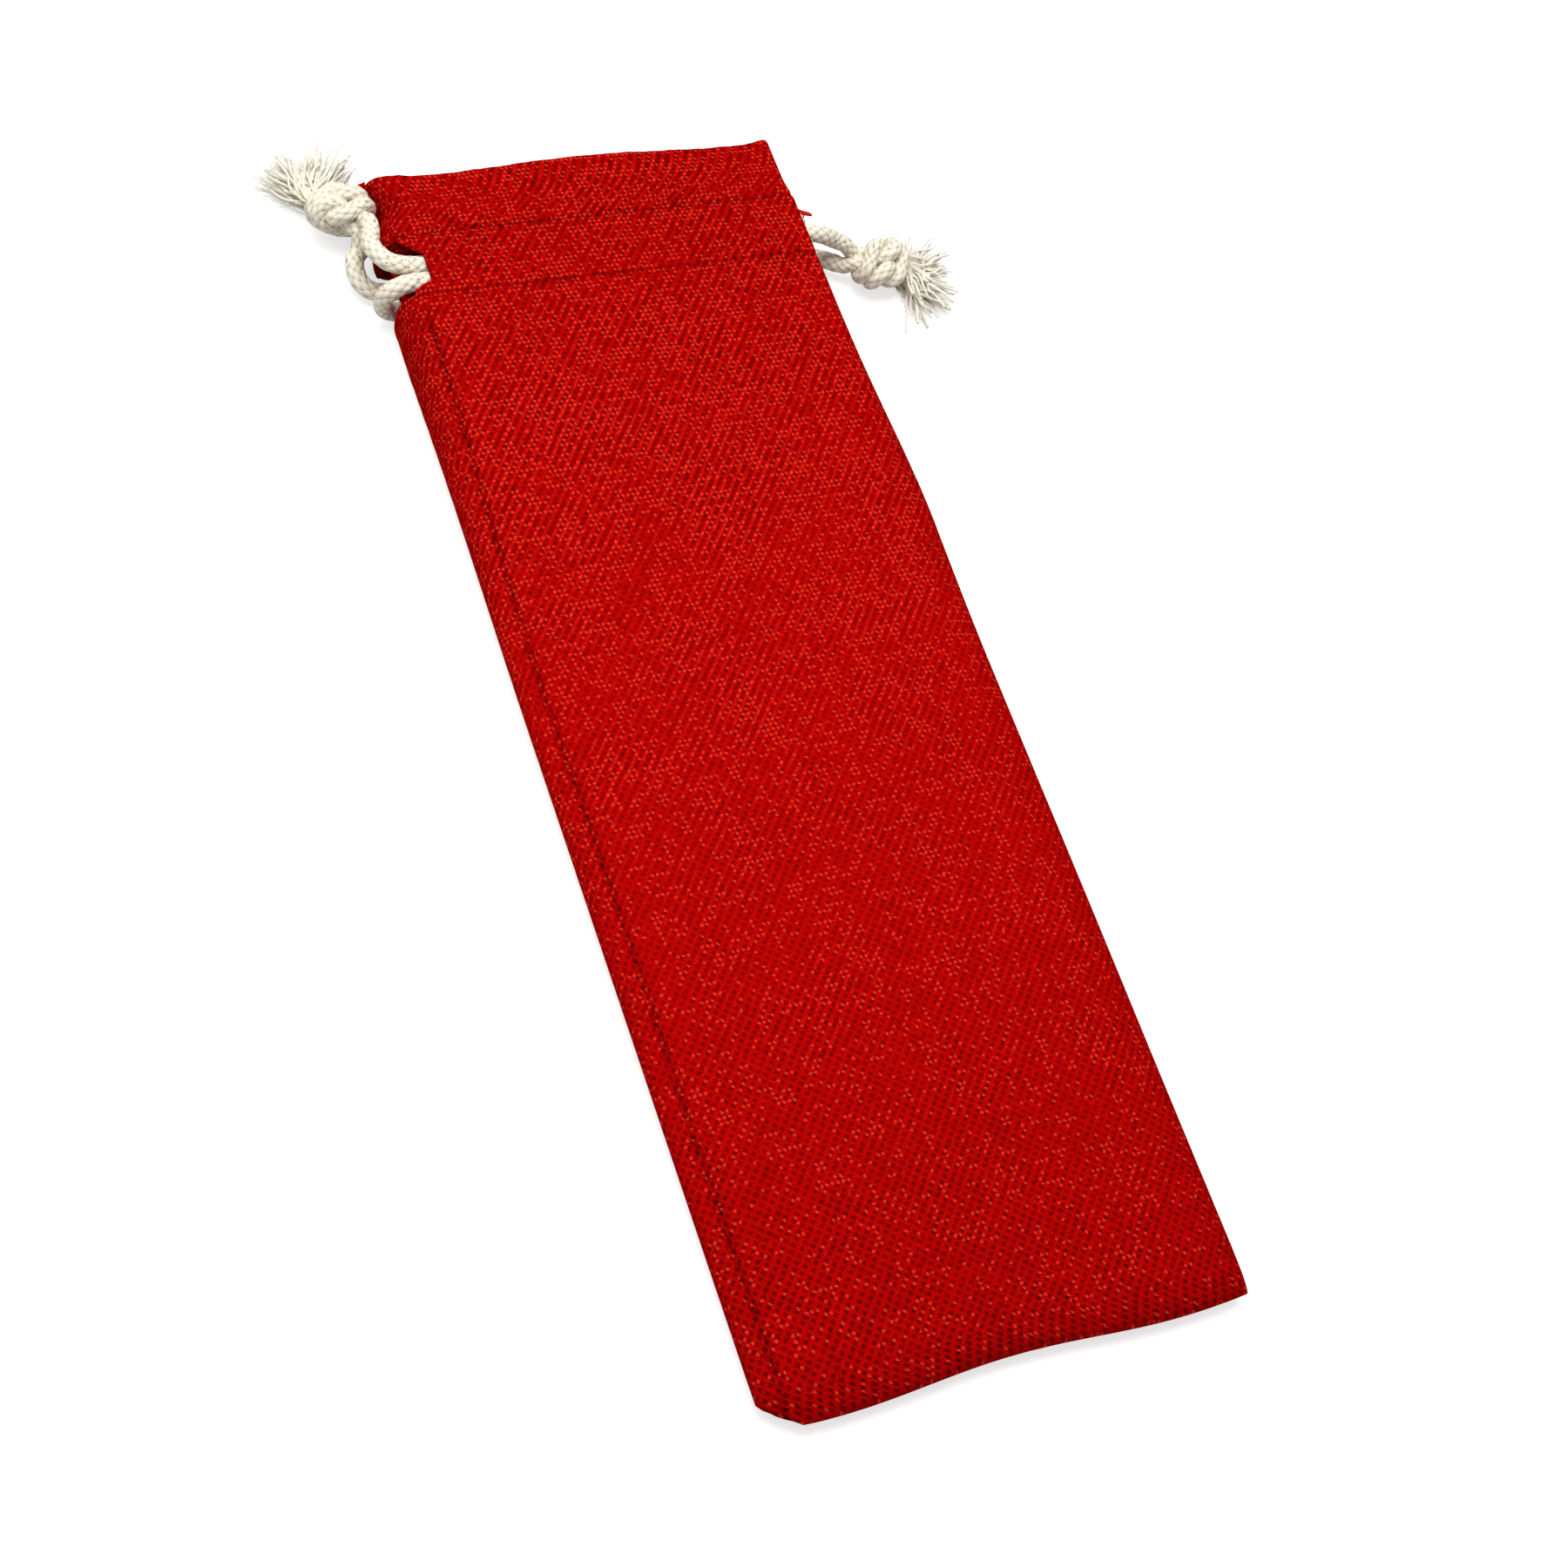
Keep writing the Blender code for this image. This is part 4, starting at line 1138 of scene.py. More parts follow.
    def slit(
        self,
        name: str,
        side: float,
        lip: float,
        z_range: tuple[float, float],
        lip_ends: tuple[float, float] = (-0.9, 0.9),
    ) -> bpy.types.Object:
        """The opening that the cords leave a channel by.

        Args:
            name: The cutting shape's name.
            side: Where the side edge is.
            lip: How far inside it the outer cloth starts.
            z_range: The heights that are cut.
            lip_ends: Where the lip starts and ends, as shares of the slit's half length.

        Returns:
            The cutting shape.
        """
        form = self.form
        outward = math.copysign(1, side)
        far = side + outward * form.width / 2
        near = side - outward * min(self.slit_full_width, lip / 2)
        deep = side - outward * lip
        lip_from, lip_to = lip_ends
        outline = [(far, -1.0), (near, -1.0), (deep, lip_from), (deep, lip_to), (near, 1.0), (far, 1.0)]
        reach = form.casing / 2 - form.cloth - self.slit_margin
        corners = [(x, form.casing_y + reach * share) for x, share in outline]
        rings = [[Vector((x, form.lean(y, z), z)) for x, y in corners] for z in z_range]
        return self.cutter(name, rings)


@dataclass
class CornerFold:
    """The bit of turned-in cloth that stands out of the mouth's left corner, beside the knot."""

    corners: tuple[tuple[float, float, float], ...] = (
        (-42.8, 120.9, 9.8),
        (-45.0, 121.2, 8.2),
        (-45.6, 119.8, 6.4),
        (-43.2, 119.2, 8.4),
    )
    thick: float = 1.0 * MM
    swell: float = 0.5 * MM
    steps: int = 8

    def build(self, finish: bpy.types.Material) -> bpy.types.Object:
        """Makes the fold as a small swelling patch of cloth with rounded rims."""
        a, b, c, d = (Vector(p) * MM for p in self.corners)
        normal = (b - a).cross(d - a).normalized()
        if normal.z < 0:
            normal.negate()
        mesh = bmesh.new()
        layer_map = mesh.loops.layers.uv.new(GRAIN_MAP)
        sheets = []
        for side in (1.0, -1.0):
            rows = []
            for i in range(self.steps + 1):
                row = []
                for j in range(self.steps + 1):
                    u, v = i / self.steps, j / self.steps
                    point = a.lerp(b, u).lerp(d.lerp(c, u), v)
                    rim = (1 - (2 * u - 1) ** 4) * (1 - (2 * v - 1) ** 4)
                    point += normal * (side * self.thick / 2 * (0.25 + 0.75 * rim) + self.swell * rim)
                    row.append(mesh.verts.new(point))
                rows.append(row)
            sheets.append(rows)
        for rows in sheets:
            for i in range(self.steps):
                for j in range(self.steps):
                    mesh.faces.new([rows[i][j], rows[i + 1][j], rows[i + 1][j + 1], rows[i][j + 1]])
        top, low = sheets
        last = self.steps
        for i in range(last):
            for j, k in ((0, 0), (last, last)):
                mesh.faces.new([top[i][j], top[i + 1][j], low[i + 1][k], low[i][k]])
                mesh.faces.new([top[j][i], top[j][i + 1], low[k][i + 1], low[k][i]])
        bmesh.ops.recalc_face_normals(mesh, faces=mesh.faces)
        for face in mesh.faces:
            for loop in face.loops:
                x, y = loop.vert.co.x, loop.vert.co.y
                loop[layer_map].uv = (x * 0.8 + y * 0.6, y * 0.8 - x * 0.6)
        return mesh_object("corner_fold", mesh, finish)


@dataclass
class Stitching:
    """The rows of stitches: the two of the casing, front and back, and the left side seam."""

    form: PouchForm
    stitch: float = 2.3 * MM
    pitch: float = 2.9 * MM
    thick: float = 0.32 * MM
    sink: float = 0.10 * MM
    row_left: float = -38 * MM
    row_right: float = 37 * MM

    def one_stitch(self) -> bpy.types.Mesh:
        """Models one stitch: a slim rounded bar, pressed flat, along X."""
        bpy.ops.object.select_all(action="DESELECT")
        bpy.ops.mesh.primitive_uv_sphere_add(segments=8, ring_count=8, radius=0.5, location=(0, 0, 0))
        bar = bpy.context.object
        bar.name = "one_stitch"
        bpy.ops.object.mode_set(mode="EDIT")
        bpy.ops.mesh.select_all(action="SELECT")
        bpy.ops.transform.rotate(value=math.pi / 2, orient_axis="Y", center_override=(0, 0, 0))
        size = (self.stitch, self.thick, self.thick * 0.75)
        bpy.ops.transform.resize(value=size, center_override=(0, 0, 0))
        bpy.ops.object.mode_set(mode="OBJECT")
        mesh = bar.data.copy()
        bpy.data.objects.remove(bar, do_unlink=True)
        return mesh

    def row(
        self, name: str, spots: Iterable[tuple[Vector, Vector, Vector]], finish: bpy.types.Material
    ) -> bpy.types.Object:
        """A row of stitches.

        Args:
            name: The piece's name.
            spots: Each stitch's place, its direction and the cloth's outward direction.
            finish: The thread.

        Returns:
            The finished piece.
        """
        single = self.one_stitch()
        mesh = bmesh.new()
        for place, along, out in spots:
            across = out.cross(along).normalized()
            turn = Matrix((along, across, out)).transposed().to_4x4()
            before = len(mesh.verts)
            mesh.from_mesh(single)
            mesh.verts.ensure_lookup_table()
            bmesh.ops.transform(mesh, matrix=Matrix.Translation(place) @ turn, verts=mesh.verts[before:])
        bpy.data.meshes.remove(single)
        return mesh_object(name, mesh, finish)

    def casing_spots(self, back: bool) -> list[tuple[Vector, Vector, Vector]]:
        """The places of the stitches of the casing's two rows, on the front or on the back."""
        form = self.form
        point: Callable[..., Vector] = form.back_point if back else form.front_point
        spots = []
        for row in (form.upper_seam, form.lower_seam):
            count = int((self.row_right - self.row_left) / self.pitch)
            for i in range(count + 1):
                x = self.row_left + i * self.pitch
                here = point(x, row)
                along = (point(x + self.stitch / 2, row) - point(x - self.stitch / 2, row)).normalized()
                out = along.cross(point(x, row + 0.0003) - point(x, row - 0.0003)).normalized()
                if (out.z < 0) != back:
                    out.negate()
                spots.append((here - out * self.sink, along, out))
        return spots

    def side_spots(self) -> list[tuple[Vector, Vector, Vector]]:
        """The places of the stitches of the left side seam."""
        form = self.form
        spots = []
        y = form.lower_seam - 4 * MM
        while y > form.bottom_y + 5 * MM:
            x = form.side_seam_inset - form.left_edge(y)
            here = form.front_point(x, y)
            along = (form.front_point(x, y - 0.001) - form.front_point(x, y + 0.001)).normalized()
            out = Vector((-0.35, 0.0, 1.0))
            out = (out - along * out.dot(along)).normalized()
            spots.append((here - out * self.sink, along, out))
            y -= self.pitch
        return spots

    def build(self, finish: bpy.types.Material) -> list[bpy.types.Object]:
        """Makes all the rows."""
        return [
            self.row("front_casing_stitches", self.casing_spots(False), finish),
            self.row("back_casing_stitches", self.casing_spots(True), finish),
            self.row("side_seam_stitches", self.side_spots(), finish),
        ]


# ---- the drawcords ----


@dataclass(frozen=True)
class KnotPlace:
    """Where a knot lies and how it is turned, in metres and degrees."""

    centre: tuple[float, float, float]
    heading: float
    roll: float
    tilt: float
    over: int


@dataclass(frozen=True)
class Spread:
    """Which way loose strands spread, in degrees, how far they reach and how many there are."""

    heading: float
    spread: float
    reach: float
    count: int


@dataclass(frozen=True)
class TuftPlace:
    """How the frayed ends of one drawcord lie: their twisted yarns and their fine fibres."""

    yarns: Spread
    fibres: Spread


class Side(Enum):
    """The side of the pouch that a drawcord is knotted on."""

    LEFT = "left"
    RIGHT = "right"


KNOTS: dict[Side, KnotPlace] = {
    Side.LEFT: KnotPlace((-0.0486, 0.1158, 0.0076), 128, 270, -18, 1),
    Side.RIGHT: KnotPlace((0.0563, 0.0919, 0.0053), -8, 300, -14, 0),
}

TUFTS: dict[Side, TuftPlace] = {
    Side.LEFT: TuftPlace(Spread(88, 40, 15.5 * MM, 140), Spread(94, 46, 19.0 * MM, 760)),
    Side.RIGHT: TuftPlace(Spread(-34, 60, 13.5 * MM, 96), Spread(-8, 84, 15.5 * MM, 560)),
}

# Down from the knot, through the front channel, round the far side and back through the back channel
ROUTES: dict[Side, list[tuple[float, float, float]]] = {
    Side.LEFT: [
        (-0.0457, 0.1074, 0.0117),
        (-0.0467, 0.1045, 0.0126),
        (-0.0463, 0.1017, 0.01315),
        (-0.0445, 0.0993, 0.01315),
        (-0.0416, 0.0983, 0.01295),
        (-0.0386, 0.0980, 0.01295),
        (-0.0200, 0.0985, 0.01295),
        (0.0000, 0.0989, 0.01295),
        (0.0336, 0.0998, 0.01295),
        (0.0375, 0.0999, 0.0127),
        (0.0396, 0.1000, 0.0107),
        (0.0399, 0.1001, 0.0079),
        (0.0396, 0.1003, 0.0051),
        (0.0375, 0.1005, 0.00305),
        (0.0336, 0.1006, 0.00285),
        (0.0000, 0.1008, 0.00285),
        (-0.0200, 0.1006, 0.00285),
        (-0.0400, 0.1002, 0.00285),
        (-0.0450, 0.1003, 0.0029),
        (-0.0474, 0.1017, 0.0034),
        (-0.0483, 0.1044, 0.0041),
        (-0.0478, 0.1073, 0.0049),
    ],
    Side.RIGHT: [
        (0.0466, 0.0959, 0.0096),
        (0.0440, 0.0956, 0.0115),
        (0.0416, 0.0956, 0.0126),
        (0.0388, 0.0957, 0.01295),
        (0.0200, 0.0954, 0.01295),
        (0.0000, 0.0948, 0.01295),
        (-0.0200, 0.0945, 0.01295),
        (-0.0386, 0.0942, 0.01295),
        (-0.0414, 0.0941, 0.0131),
        (-0.0440, 0.0939, 0.0127),
        (-0.0460, 0.0941, 0.0106),
        (-0.0463, 0.0945, 0.0079),
        (-0.0456, 0.0949, 0.0050),
        (-0.0432, 0.0954, 0.0030),
        (-0.0380, 0.0958, 0.00285),
        (-0.0200, 0.0965, 0.00285),
        (0.0000, 0.0967, 0.00285),
        (0.0200, 0.0966, 0.00285),
        (0.0375, 0.0968, 0.00285),
        (0.0415, 0.0970, 0.0029),
        (0.0444, 0.0968, 0.0032),
        (0.0471, 0.0951, 0.0037),
    ],
}


@dataclass
class OverhandKnot:
    """Two strands side by side, tied in one overhand knot and pulled tight along X, in strand diameters."""

    count: int = 70
    pulls: int = 800
    step: float = 0.03
    body: float = 1.6
    reach: float = 2.3
    half_gap: float = 0.52
    end_gap: float = 0.51
    taut: float = 1.01
    end_fade: float = 0.97
    rounds: int = 5
    stiffness: float = 0.12
    spring: float = 0.45
    touching: float = 0.95
    push: float = 1.3

    def loose(self) -> np.ndarray:
        """An open overhand knot, as a polynomial curve."""
        t = np.linspace(-2.25, 2.25, 4000)
        curve = np.stack([1.9 * (t**3 - 3 * t), 1.18 * (t**4 - 4 * t**2 + 2), (10 * t - t**5) / 6], 1)
        return spaced(curve, self.count)

    def tie(self) -> np.ndarray:
        """Pulls the knot tight.

        Each strand is a chain of points. Its ends are pulled apart in small steps, and after each step
        the spacing, the stiffness and the distance between strands that touch are put right.

        Returns:
            The two strands' points.
        """
        count = self.count
        centre = self.loose()
        along = np.gradient(centre, axis=0) * [1, 1, 0]
        along /= np.linalg.norm(along, axis=1)[:, None]
        across = self.half_gap * np.stack([-along[:, 1], along[:, 0], 0 * along[:, 0]], 1)
        strands = np.stack([centre + across, centre - across])
        rest = np.linalg.norm(np.diff(strands, axis=1), axis=2).sum(1)[:, None] / (count - 1)
        strand, place_in = np.divmod(np.arange(2 * count), count)
        neighbours = np.abs(place_in[:, None] - place_in[None]) * rest.mean() < 1.5
        neighbours &= strand[:, None] == strand[None]
        first, second = np.triu_indices(2 * count, 1)
        apart = ~neighbours[first, second]
        first, second = first[apart], second[apart]
        for _ in range(self.pulls):
            if (np.linalg.norm(np.diff(strands, axis=1), axis=2) / rest).mean() < self.taut:
                strands[:, 0, 0] -= self.step
                strands[:, -1, 0] += self.step
            strands[:, [0, -1], 1:] *= self.end_fade
            for end in (0, -1):
                middle = strands[:, end].mean(0)
                spread = strands[0, end] - strands[1, end]
                spread *= self.end_gap / np.linalg.norm(spread)
                strands[0, end], strands[1, end] = middle + spread, middle - spread
            held = strands[:, [0, -1]].copy()
            for _ in range(self.rounds):
                strands = self.settle(strands, rest, first, second)
                strands[:, [0, -1]] = held
        return strands

    def settle(
        self, strands: np.ndarray, rest: np.ndarray, first: np.ndarray, second: np.ndarray
    ) -> np.ndarray:
        """Puts the stiffness, the spacing and the touching strands right once.

        Args:
            strands: The two strands' points.
            rest: The spacing along each.
            first: One point of each pair that may touch.
            second: The other point of each pair.

        Returns:
            The moved points.
        """
        strands[:, 1:-1] += self.stiffness * ((strands[:, :-2] + strands[:, 2:]) / 2 - strands[:, 1:-1])
        step = np.diff(strands, axis=1)
        length = np.linalg.norm(step, axis=2)
        fix = (self.spring * (length - rest) / length)[..., None] * step
        strands[:, :-1] += fix
        strands[:, 1:] -= fix
        points = strands.reshape(-1, 3)
        gap = points[first] - points[second]
        distance = np.linalg.norm(gap, axis=1)
        close = distance < self.touching
        near = distance[close]
        push = (0.5 * (self.touching - near) / np.maximum(near, 1e-6))[:, None] * gap[close]
        moved = np.zeros_like(points)
        hits = np.zeros(len(points))
        np.add.at(moved, first[close], push)
        np.add.at(moved, second[close], -push)
        np.add.at(hits, first[close], 1)
        np.add.at(hits, second[close], 1)
        return (points + self.push * moved / np.maximum(hits, 1)[:, None]).reshape(strands.shape)


@dataclass
class Drawcord:
    """One braided drawcord with the knot and the frayed ends that finish it."""

    side: Side
    tied: np.ndarray
    diameter: float = 3.5 * MM
    knot_strand: float = 2.75 * MM
    knot_radius: float = 1.55 * MM
    leg_stub: float = 2.0 * MM
    leg_lift: float = 0.9 * MM
    leg_turn: float = 0.7
    cord_stub: float = 1.2 * MM
    gap: float = 0.3 * MM
    sides: int = 28
    ring_step: float = 0.33 * MM
    relief: float = 0.13 * MM
    taper: float = 3.0 * MM
    tails: list[tuple[Vector, Vector]] = field(default_factory=list)

    def knot_paths(self) -> list[list[Vector]]:
        """The knot's two strands in place, each led on by a leg to its end of the cord's route."""
        place = KNOTS[self.side]
        route = [Vector(p) for p in ROUTES[self.side]]
        limits = OverhandKnot()
        body = self.tied.reshape(-1, 3)
        body = body[np.abs(body[:, 0]) < limits.body]
        shift = Vector((body.max(0) + body.min(0)) / 2)
        turn = Matrix.Rotation(math.radians(place.heading), 4, "Z")
        tilt = Matrix.Rotation(math.radians(-place.tilt), 4, "Y")
        roll = Matrix.Rotation(math.radians(place.roll), 4, "X")
        matrix = Matrix.Translation(place.centre) @ turn @ tilt @ roll @ Matrix.Scale(self.knot_strand, 4)
        paths = []
        for index, strand in enumerate(self.tied):
            kept = np.flatnonzero(np.abs(strand[:, 0]) < limits.reach)
            path = [matrix @ (Vector(point) - shift) for point in strand[kept[0] : kept[-1] + 1]]
            over = index == place.over
            target = route[0] if over else route[-1]
            own = (path[0] - path[2]).normalized()
            turned = own.lerp((target - path[0]).normalized(), self.leg_turn).normalized()
            leg = path[0] + turned * self.leg_stub
            leg.z += self.leg_lift if over else -self.leg_lift
            paths.append([leg] + path)
        return paths

    def cord_points(self, paths: list[list[Vector]]) -> list[Vector]:
        """The cord's route, with both ends led to the knot's two strands."""
        route = [Vector(p) for p in ROUTES[self.side]]
        legs = [(path[0], (path[0] - path[1]).normalized()) for path in paths]
        legs.sort(key=lambda leg: (leg[0] - route[0]).length)
        starts = [leg[0] + leg[1] * self.gap for leg in legs]
        return [starts[0], starts[0] + legs[0][1] * self.cord_stub] + route + [
            starts[1] + legs[1][1] * self.cord_stub,
            starts[1],
        ]

    def radii(self, line: np.ndarray) -> np.ndarray:
        """The cord's radius along its line, a little less where it goes into the knot."""
        walked = walked_along(line)
        from_end = np.minimum(walked, walked[-1] - walked)
        share = np.clip(from_end / self.taper, 0.0, 1.0)
        return self.knot_radius + (self.diameter / 2 - self.knot_radius) * share

    def build_cord(
        self, paths: list[list[Vector]], finish: bpy.types.Material
    ) -> tuple[bpy.types.Object, np.ndarray]:
        """Makes the braided cord between the two legs of its knot.

        Args:
            paths: The knot's two strands.
            finish: The braided cotton.

        Returns:
            The piece and the line that it follows.
        """
        line = even_path(smooth_path(self.cord_points(paths), 14), self.ring_step)
        tube = Tube(line, self.radii(line), self.sides, relief=self.relief)
        return tube.build(f"{self.side.value}_cord_braid", finish), line

    def build_knot(self, paths: list[list[Vector]], finish: bpy.types.Material) -> bpy.types.Object:
        """Makes the knot of its two real strands, and keeps where their tails end."""
        parts = []
        self.tails = []
        for index, path in enumerate(paths):
            lead = path[0] + (path[0] - path[1]).normalized() * self.gap * 1.6
            line = even_path(smooth_path([lead] + path, 12), self.ring_step)
            radii = np.full(len(line), self.knot_radius)
            tube = Tube(line, radii, self.sides, relief=self.relief * 0.85, start_at=0.3 + 0.05 * index)
            parts.append(tube.parts())
            self.tails.append((path[-1], (path[-1] - path[-3]).normalized()))
        return tube_object(f"{self.side.value}_tied_knot", parts, finish)


@dataclass
class Tuft:
    """The frayed ends of one drawcord: twisted yarns that curl, and many fine fibres that fan out."""

    side: Side
    tails: list[tuple[Vector, Vector]]
    yarn_radius: float = 0.40 * MM
    fibre_radius: float = 0.062 * MM
    floor_gap: float = 0.15 * MM

    def __post_init__(self) -> None:
        """Seeds the tuft's own uneven numbers."""
        self.chance = random.Random(11 if self.side is Side.LEFT else 29)
        self.place = TUFTS[self.side]

    @staticmethod
    def aim(spread: Spread, share: float) -> Vector:
        """The flat direction at a share of a spread, from -1 to 1."""
        angle = math.radians(spread.heading + spread.spread * share)
        return Vector((math.cos(angle), math.sin(angle), 0.0))

    def strand_line(
        self, start: Vector, lead: Vector, end: Vector, curl: float, points: int, lowest: float
    ) -> list[Vector]:
        """A curling line from a cord's cut end to a place in the fan.

        Args:
            start: Where it starts.
            lead: The way that the cord's end points.
            end: Where it ends.
            curl: How far it wanders from its curve.
            points: How many points it gets.
            lowest: The least height of its points.

        Returns:
            The line's points.
        """
        reach = (end - start).length
        bend = start + lead * reach * 0.42
        phase, beat = self.chance.uniform(0, 6.3), self.chance.uniform(1.0, 3.0)
        way = (end - start).normalized()
        side = way.cross(Vector((0, 0, 1))).normalized()
        line = []
        for i in range(points):
            t = i / (points - 1)
            point = start * (1 - t) ** 2 + bend * 2 * t * (1 - t) + end * t * t
            turn = phase + beat * math.pi * t
            point += (side * math.sin(turn) + Vector((0, 0, 0.8)) * math.cos(turn)) * curl * min(1.0, 2 * t)
            point.z = max(point.z, lowest)
            line.append(point)
        return line

    def build_yarns(self, finish: bpy.types.Material) -> bpy.types.Object:
        """Makes the twisted yarns that the cut ends open into."""
        parts = []
        spread = self.place.yarns
        for i in range(spread.count):
            tail, lead = self.tails[i % 2]
            side = lead.cross(Vector((0, 0, 1))).normalized()
            up = side.cross(lead)
            angle = math.pi * i / spread.count * 2 + self.chance.uniform(-0.3, 0.3)
            offset = (side * math.cos(angle) + up * math.sin(angle)) * self.chance.uniform(0.3, 1.15) * MM
            share = self.chance.uniform(-1, 1)
            end = tail + offset + self.aim(spread, share) * spread.reach * self.chance.uniform(0.45, 1.0)
            end.z = self.chance.uniform(0.8, 5.5) * MM
            curl = self.chance.uniform(0.4, 1.3) * MM
            start, lowest = tail - lead * 1.2 * MM + offset, self.yarn_radius + self.floor_gap
            line = self.strand_line(start, lead, end, curl, 14, lowest)
            even = even_path(smooth_path(line, 3), 0.28 * MM)
            radii = self.yarn_radius * self.chance.uniform(0.6, 1.1) * np.linspace(1.0, 0.6, len(even))
            parts.append(Tube(even, radii, 8, 2, 1.0 * MM, relief=0.14 * MM).parts())
        return tube_object(f"{self.side.value}_loose_yarns", parts, finish)

    def build_fibres(self, finish: bpy.types.Material) -> bpy.types.Object:
        """Makes the fine fibres that fan out past the yarns."""
        parts = []
        spread = self.place.fibres
        for i in range(spread.count):
            tail, lead = self.tails[i % 2]
            share = self.chance.uniform(-1, 1)
            edge = 1 - 0.26 * share * share
            reach = spread.reach * edge * self.chance.uniform(0.45, 1.02)
            offset = Vector([self.chance.gauss(0, 0.6) * MM for _ in range(3)]) - Vector((0, 0, 0.8 * MM))
            end = tail + self.aim(spread, share + self.chance.gauss(0, 0.05)) * reach
            end.z = abs(self.chance.gauss(0.0, 1.6)) * MM + self.floor_gap
            curl = self.chance.uniform(0.1, 0.7) * MM
            line = self.strand_line(tail + offset, lead, end, curl, 8, self.floor_gap)
            even = even_path(line, reach / 7)
            radii = self.fibre_radius * np.linspace(1.0, 0.5, len(even)) * self.chance.uniform(0.7, 1.3)
            parts.append(Tube(even, radii, 3).parts())
        return tube_object(f"{self.side.value}_loose_fibres", parts, finish)


@dataclass
class LooseThread:
    """The short end of red thread that stands out of the right slit."""

    radius: float = 0.50 * MM
    step: float = 0.25 * MM
    plies: tuple[tuple[float, tuple[tuple[float, float, float], ...]], ...] = (
        (
            1.0,
            (
                (36.0, 100.8, 14.2),
                (37.6, 100.8, 13.8),
                (39.2, 100.8, 13.2),
                (40.8, 100.7, 12.6),
                (42.6, 100.5, 12.1),
            ),
        ),
        (
            0.8,
            (
                (36.2, 101.6, 14.2),
                (37.8, 101.5, 13.8),
                (39.4, 101.2, 13.2),
                (40.8, 101.0, 12.7),
                (42.2, 100.8, 12.3),
            ),
        ),
        (0.3, ((40.2, 100.7, 12.8), (40.7, 100.2, 12.5), (40.6, 99.7, 12.1), (40.8, 99.2, 11.6))),
    )

    def build(self, finish: bpy.types.Material) -> bpy.types.Object:
        """Makes the thread of two plies that part at its end, and a thin hair that hangs from it."""
        parts = []
        for share, points in self.plies:
            line = even_path(smooth_path([Vector(p) * MM for p in points], 6), self.step)
            radii = np.linspace(self.radius * share, self.radius * share * 0.6, len(line))
            parts.append(Tube(line, radii, 8, 2, 0.7 * MM, relief=0.06 * MM).parts())
        return tube_object("loose_red_thread", parts, finish)


# ---- the stage ----


@dataclass(frozen=True)
class Lamp:
    """One soft square lamp that shines at the origin: its place, size and power."""

    name: str
    place: tuple[float, float, float]
    size: float
    power: float


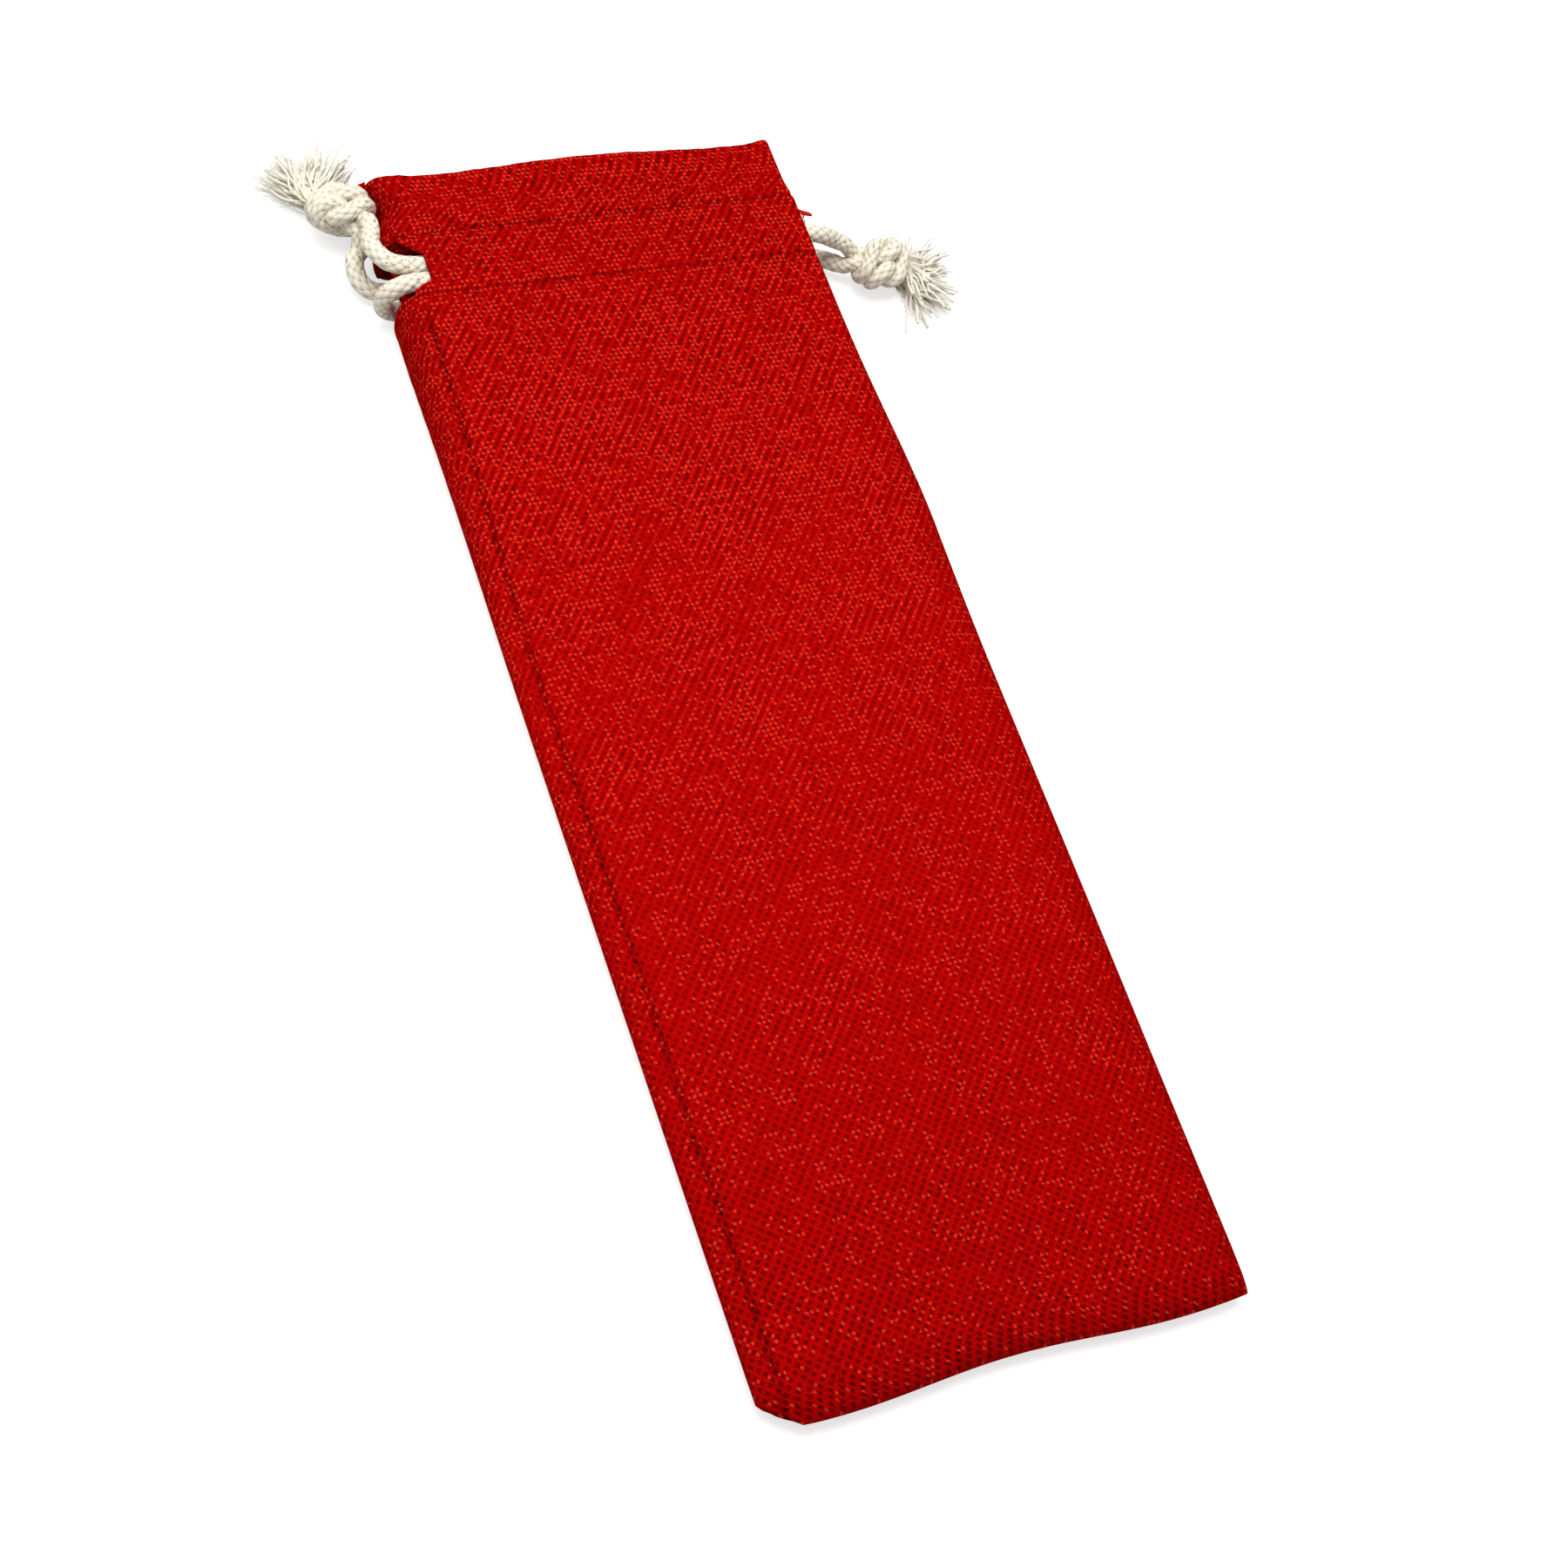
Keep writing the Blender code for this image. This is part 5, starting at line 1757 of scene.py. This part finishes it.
@dataclass
class Studio:
    """The camera, the pale floor, the soft lamps and the white surroundings."""

    camera_at: tuple[float, float, float] = (-0.1888, -0.2027, 0.4187)
    right: tuple[float, float, float] = (0.9090, -0.3256, 0.2616)
    up: tuple[float, float, float] = (0.1744, 0.8657, 0.4686)
    back: tuple[float, float, float] = (-0.3787, -0.3799, 0.8437)
    lens: float = 63.4
    film: float = 36.0
    nearest: float = 0.01
    floor_half: float = 3.0
    floor_drop: float = 0.1 * MM
    floor_grey: float = 0.60
    floor_glow: float = 0.65
    surroundings: float = 0.34
    lamps: tuple[Lamp, ...] = (
        Lamp("key", (-0.05, 0.16, 0.80), 0.5, 5.7),
        Lamp("fill", (-0.45, 0.30, 0.95), 0.8, 4.0),
    )

    def build_camera(self) -> None:
        """Sets the camera at the photograph's own place."""
        data = bpy.data.cameras.new("camera")
        data.lens = self.lens
        data.sensor_width = self.film
        data.clip_start = self.nearest
        camera = bpy.data.objects.new("camera", data)
        turn = Matrix((Vector(self.right), Vector(self.up), Vector(self.back))).transposed().to_4x4()
        camera.matrix_world = Matrix.Translation(self.camera_at) @ turn
        bpy.context.scene.collection.objects.link(camera)
        bpy.context.scene.camera = camera

    def build_floor(self) -> None:
        """Lays the pale floor, which keeps the object's shadow and glows a little for the camera alone."""
        bpy.ops.object.select_all(action="DESELECT")
        bpy.ops.mesh.primitive_plane_add(size=2 * self.floor_half, location=(0, 0, -self.floor_drop))
        floor = bpy.context.object
        floor.name = "floor"
        material = bpy.data.materials.new("white_floor")
        material.use_nodes = True
        nodes, links = material.node_tree.nodes, material.node_tree.links
        shader = nodes["Principled BSDF"]
        grey = self.floor_grey
        shader.inputs["Base Color"].default_value = (grey, grey, grey, 1.0)
        shader.inputs["Roughness"].default_value = 0.9
        shader.inputs["Specular IOR Level"].default_value = 0.0
        shader.inputs["Emission Color"].default_value = (1.0, 1.0, 1.0, 1.0)
        path = nodes.new("ShaderNodeLightPath")
        scale = nodes.new("ShaderNodeMath")
        scale.operation = "MULTIPLY"
        scale.inputs[1].default_value = self.floor_glow
        links.new(path.outputs["Is Camera Ray"], scale.inputs[0])
        links.new(scale.outputs[0], shader.inputs["Emission Strength"])
        floor.data.materials.append(material)

    def build_lamps(self) -> None:
        """Sets the soft lamps."""
        for lamp in self.lamps:
            data = bpy.data.lights.new(lamp.name, "AREA")
            data.shape = "SQUARE"
            data.size = lamp.size
            data.energy = lamp.power
            obj = bpy.data.objects.new(lamp.name, data)
            obj.location = lamp.place
            obj.rotation_euler = Vector(lamp.place).to_track_quat("Z", "Y").to_euler()
            bpy.context.scene.collection.objects.link(obj)

    def build_surroundings(self) -> None:
        """Sets white surroundings, which light the scene less than they look."""
        world = bpy.data.worlds.new("surroundings")
        bpy.context.scene.world = world
        world.use_nodes = True
        nodes, links = world.node_tree.nodes, world.node_tree.links
        background = nodes["Background"]
        background.inputs[0].default_value = (1.0, 1.0, 1.0, 1.0)
        path = nodes.new("ShaderNodeLightPath")
        seen = path.outputs["Is Camera Ray"]
        for ray in ("Is Glossy Ray", "Is Transmission Ray"):
            either = nodes.new("ShaderNodeMath")
            either.operation = "MAXIMUM"
            links.new(seen, either.inputs[0])
            links.new(path.outputs[ray], either.inputs[1])
            seen = either.outputs[0]
        strength = nodes.new("ShaderNodeMapRange")
        strength.inputs["To Min"].default_value = self.surroundings
        strength.inputs["To Max"].default_value = 1.0
        links.new(seen, strength.inputs["Value"])
        links.new(strength.outputs[0], background.inputs[1])


# ---- the whole ----


def ride(piece: bpy.types.Object) -> bpy.types.Object:
    """Lets a piece ride on the pouch, and logs how many faces it has."""
    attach(piece, BODY)
    log.info("%s: %d faces", piece.name, len(piece.data.polygons))
    return piece


def build_pouch(thread: bpy.types.Material) -> list[bpy.types.Object]:
    form = PouchForm()
    red = RedCloth().build()
    cloth = ride(PouchCloth(form).build(red))
    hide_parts("pouch_body")
    fold = ride(CornerFold().build(red))
    rows = [ride(row) for row in Stitching(form).build(thread)]
    rows.append(ride(LooseThread().build(thread)))
    return [cloth, fold] + rows


def build_drawcords() -> None:
    tied = OverhandKnot().tie()
    braid = BraidedCotton().build()
    fibre = LooseCotton().build()
    for side in Side:
        cord = Drawcord(side, tied)
        paths = cord.knot_paths()
        braided, line = cord.build_cord(paths, braid)
        knot = cord.build_knot(paths, braid)
        tuft = Tuft(side, cord.tails)
        yarns = tuft.build_yarns(fibre)
        fibres = tuft.build_fibres(fibre)
        for piece in (braided, knot):
            ride(piece)
        for piece in (yarns, fibres):
            ride(piece)
        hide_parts(f"{side.value}_drawcord")
        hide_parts(f"{side.value}_knot")
        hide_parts(f"{side.value}_frayed_ends")


def main() -> None:
    """Builds the scene in order and writes how large it came out."""
    logging.basicConfig(level=logging.INFO, format="%(name)s: %(message)s")
    bpy.context.scene.view_settings.view_transform = "Standard"
    studio = Studio()
    studio.build_camera()
    studio.build_floor()
    studio.build_lamps()
    studio.build_surroundings()
    build_drawcords()
    build_pouch(SewingThread().build())


if __name__ == "__main__":
    main()
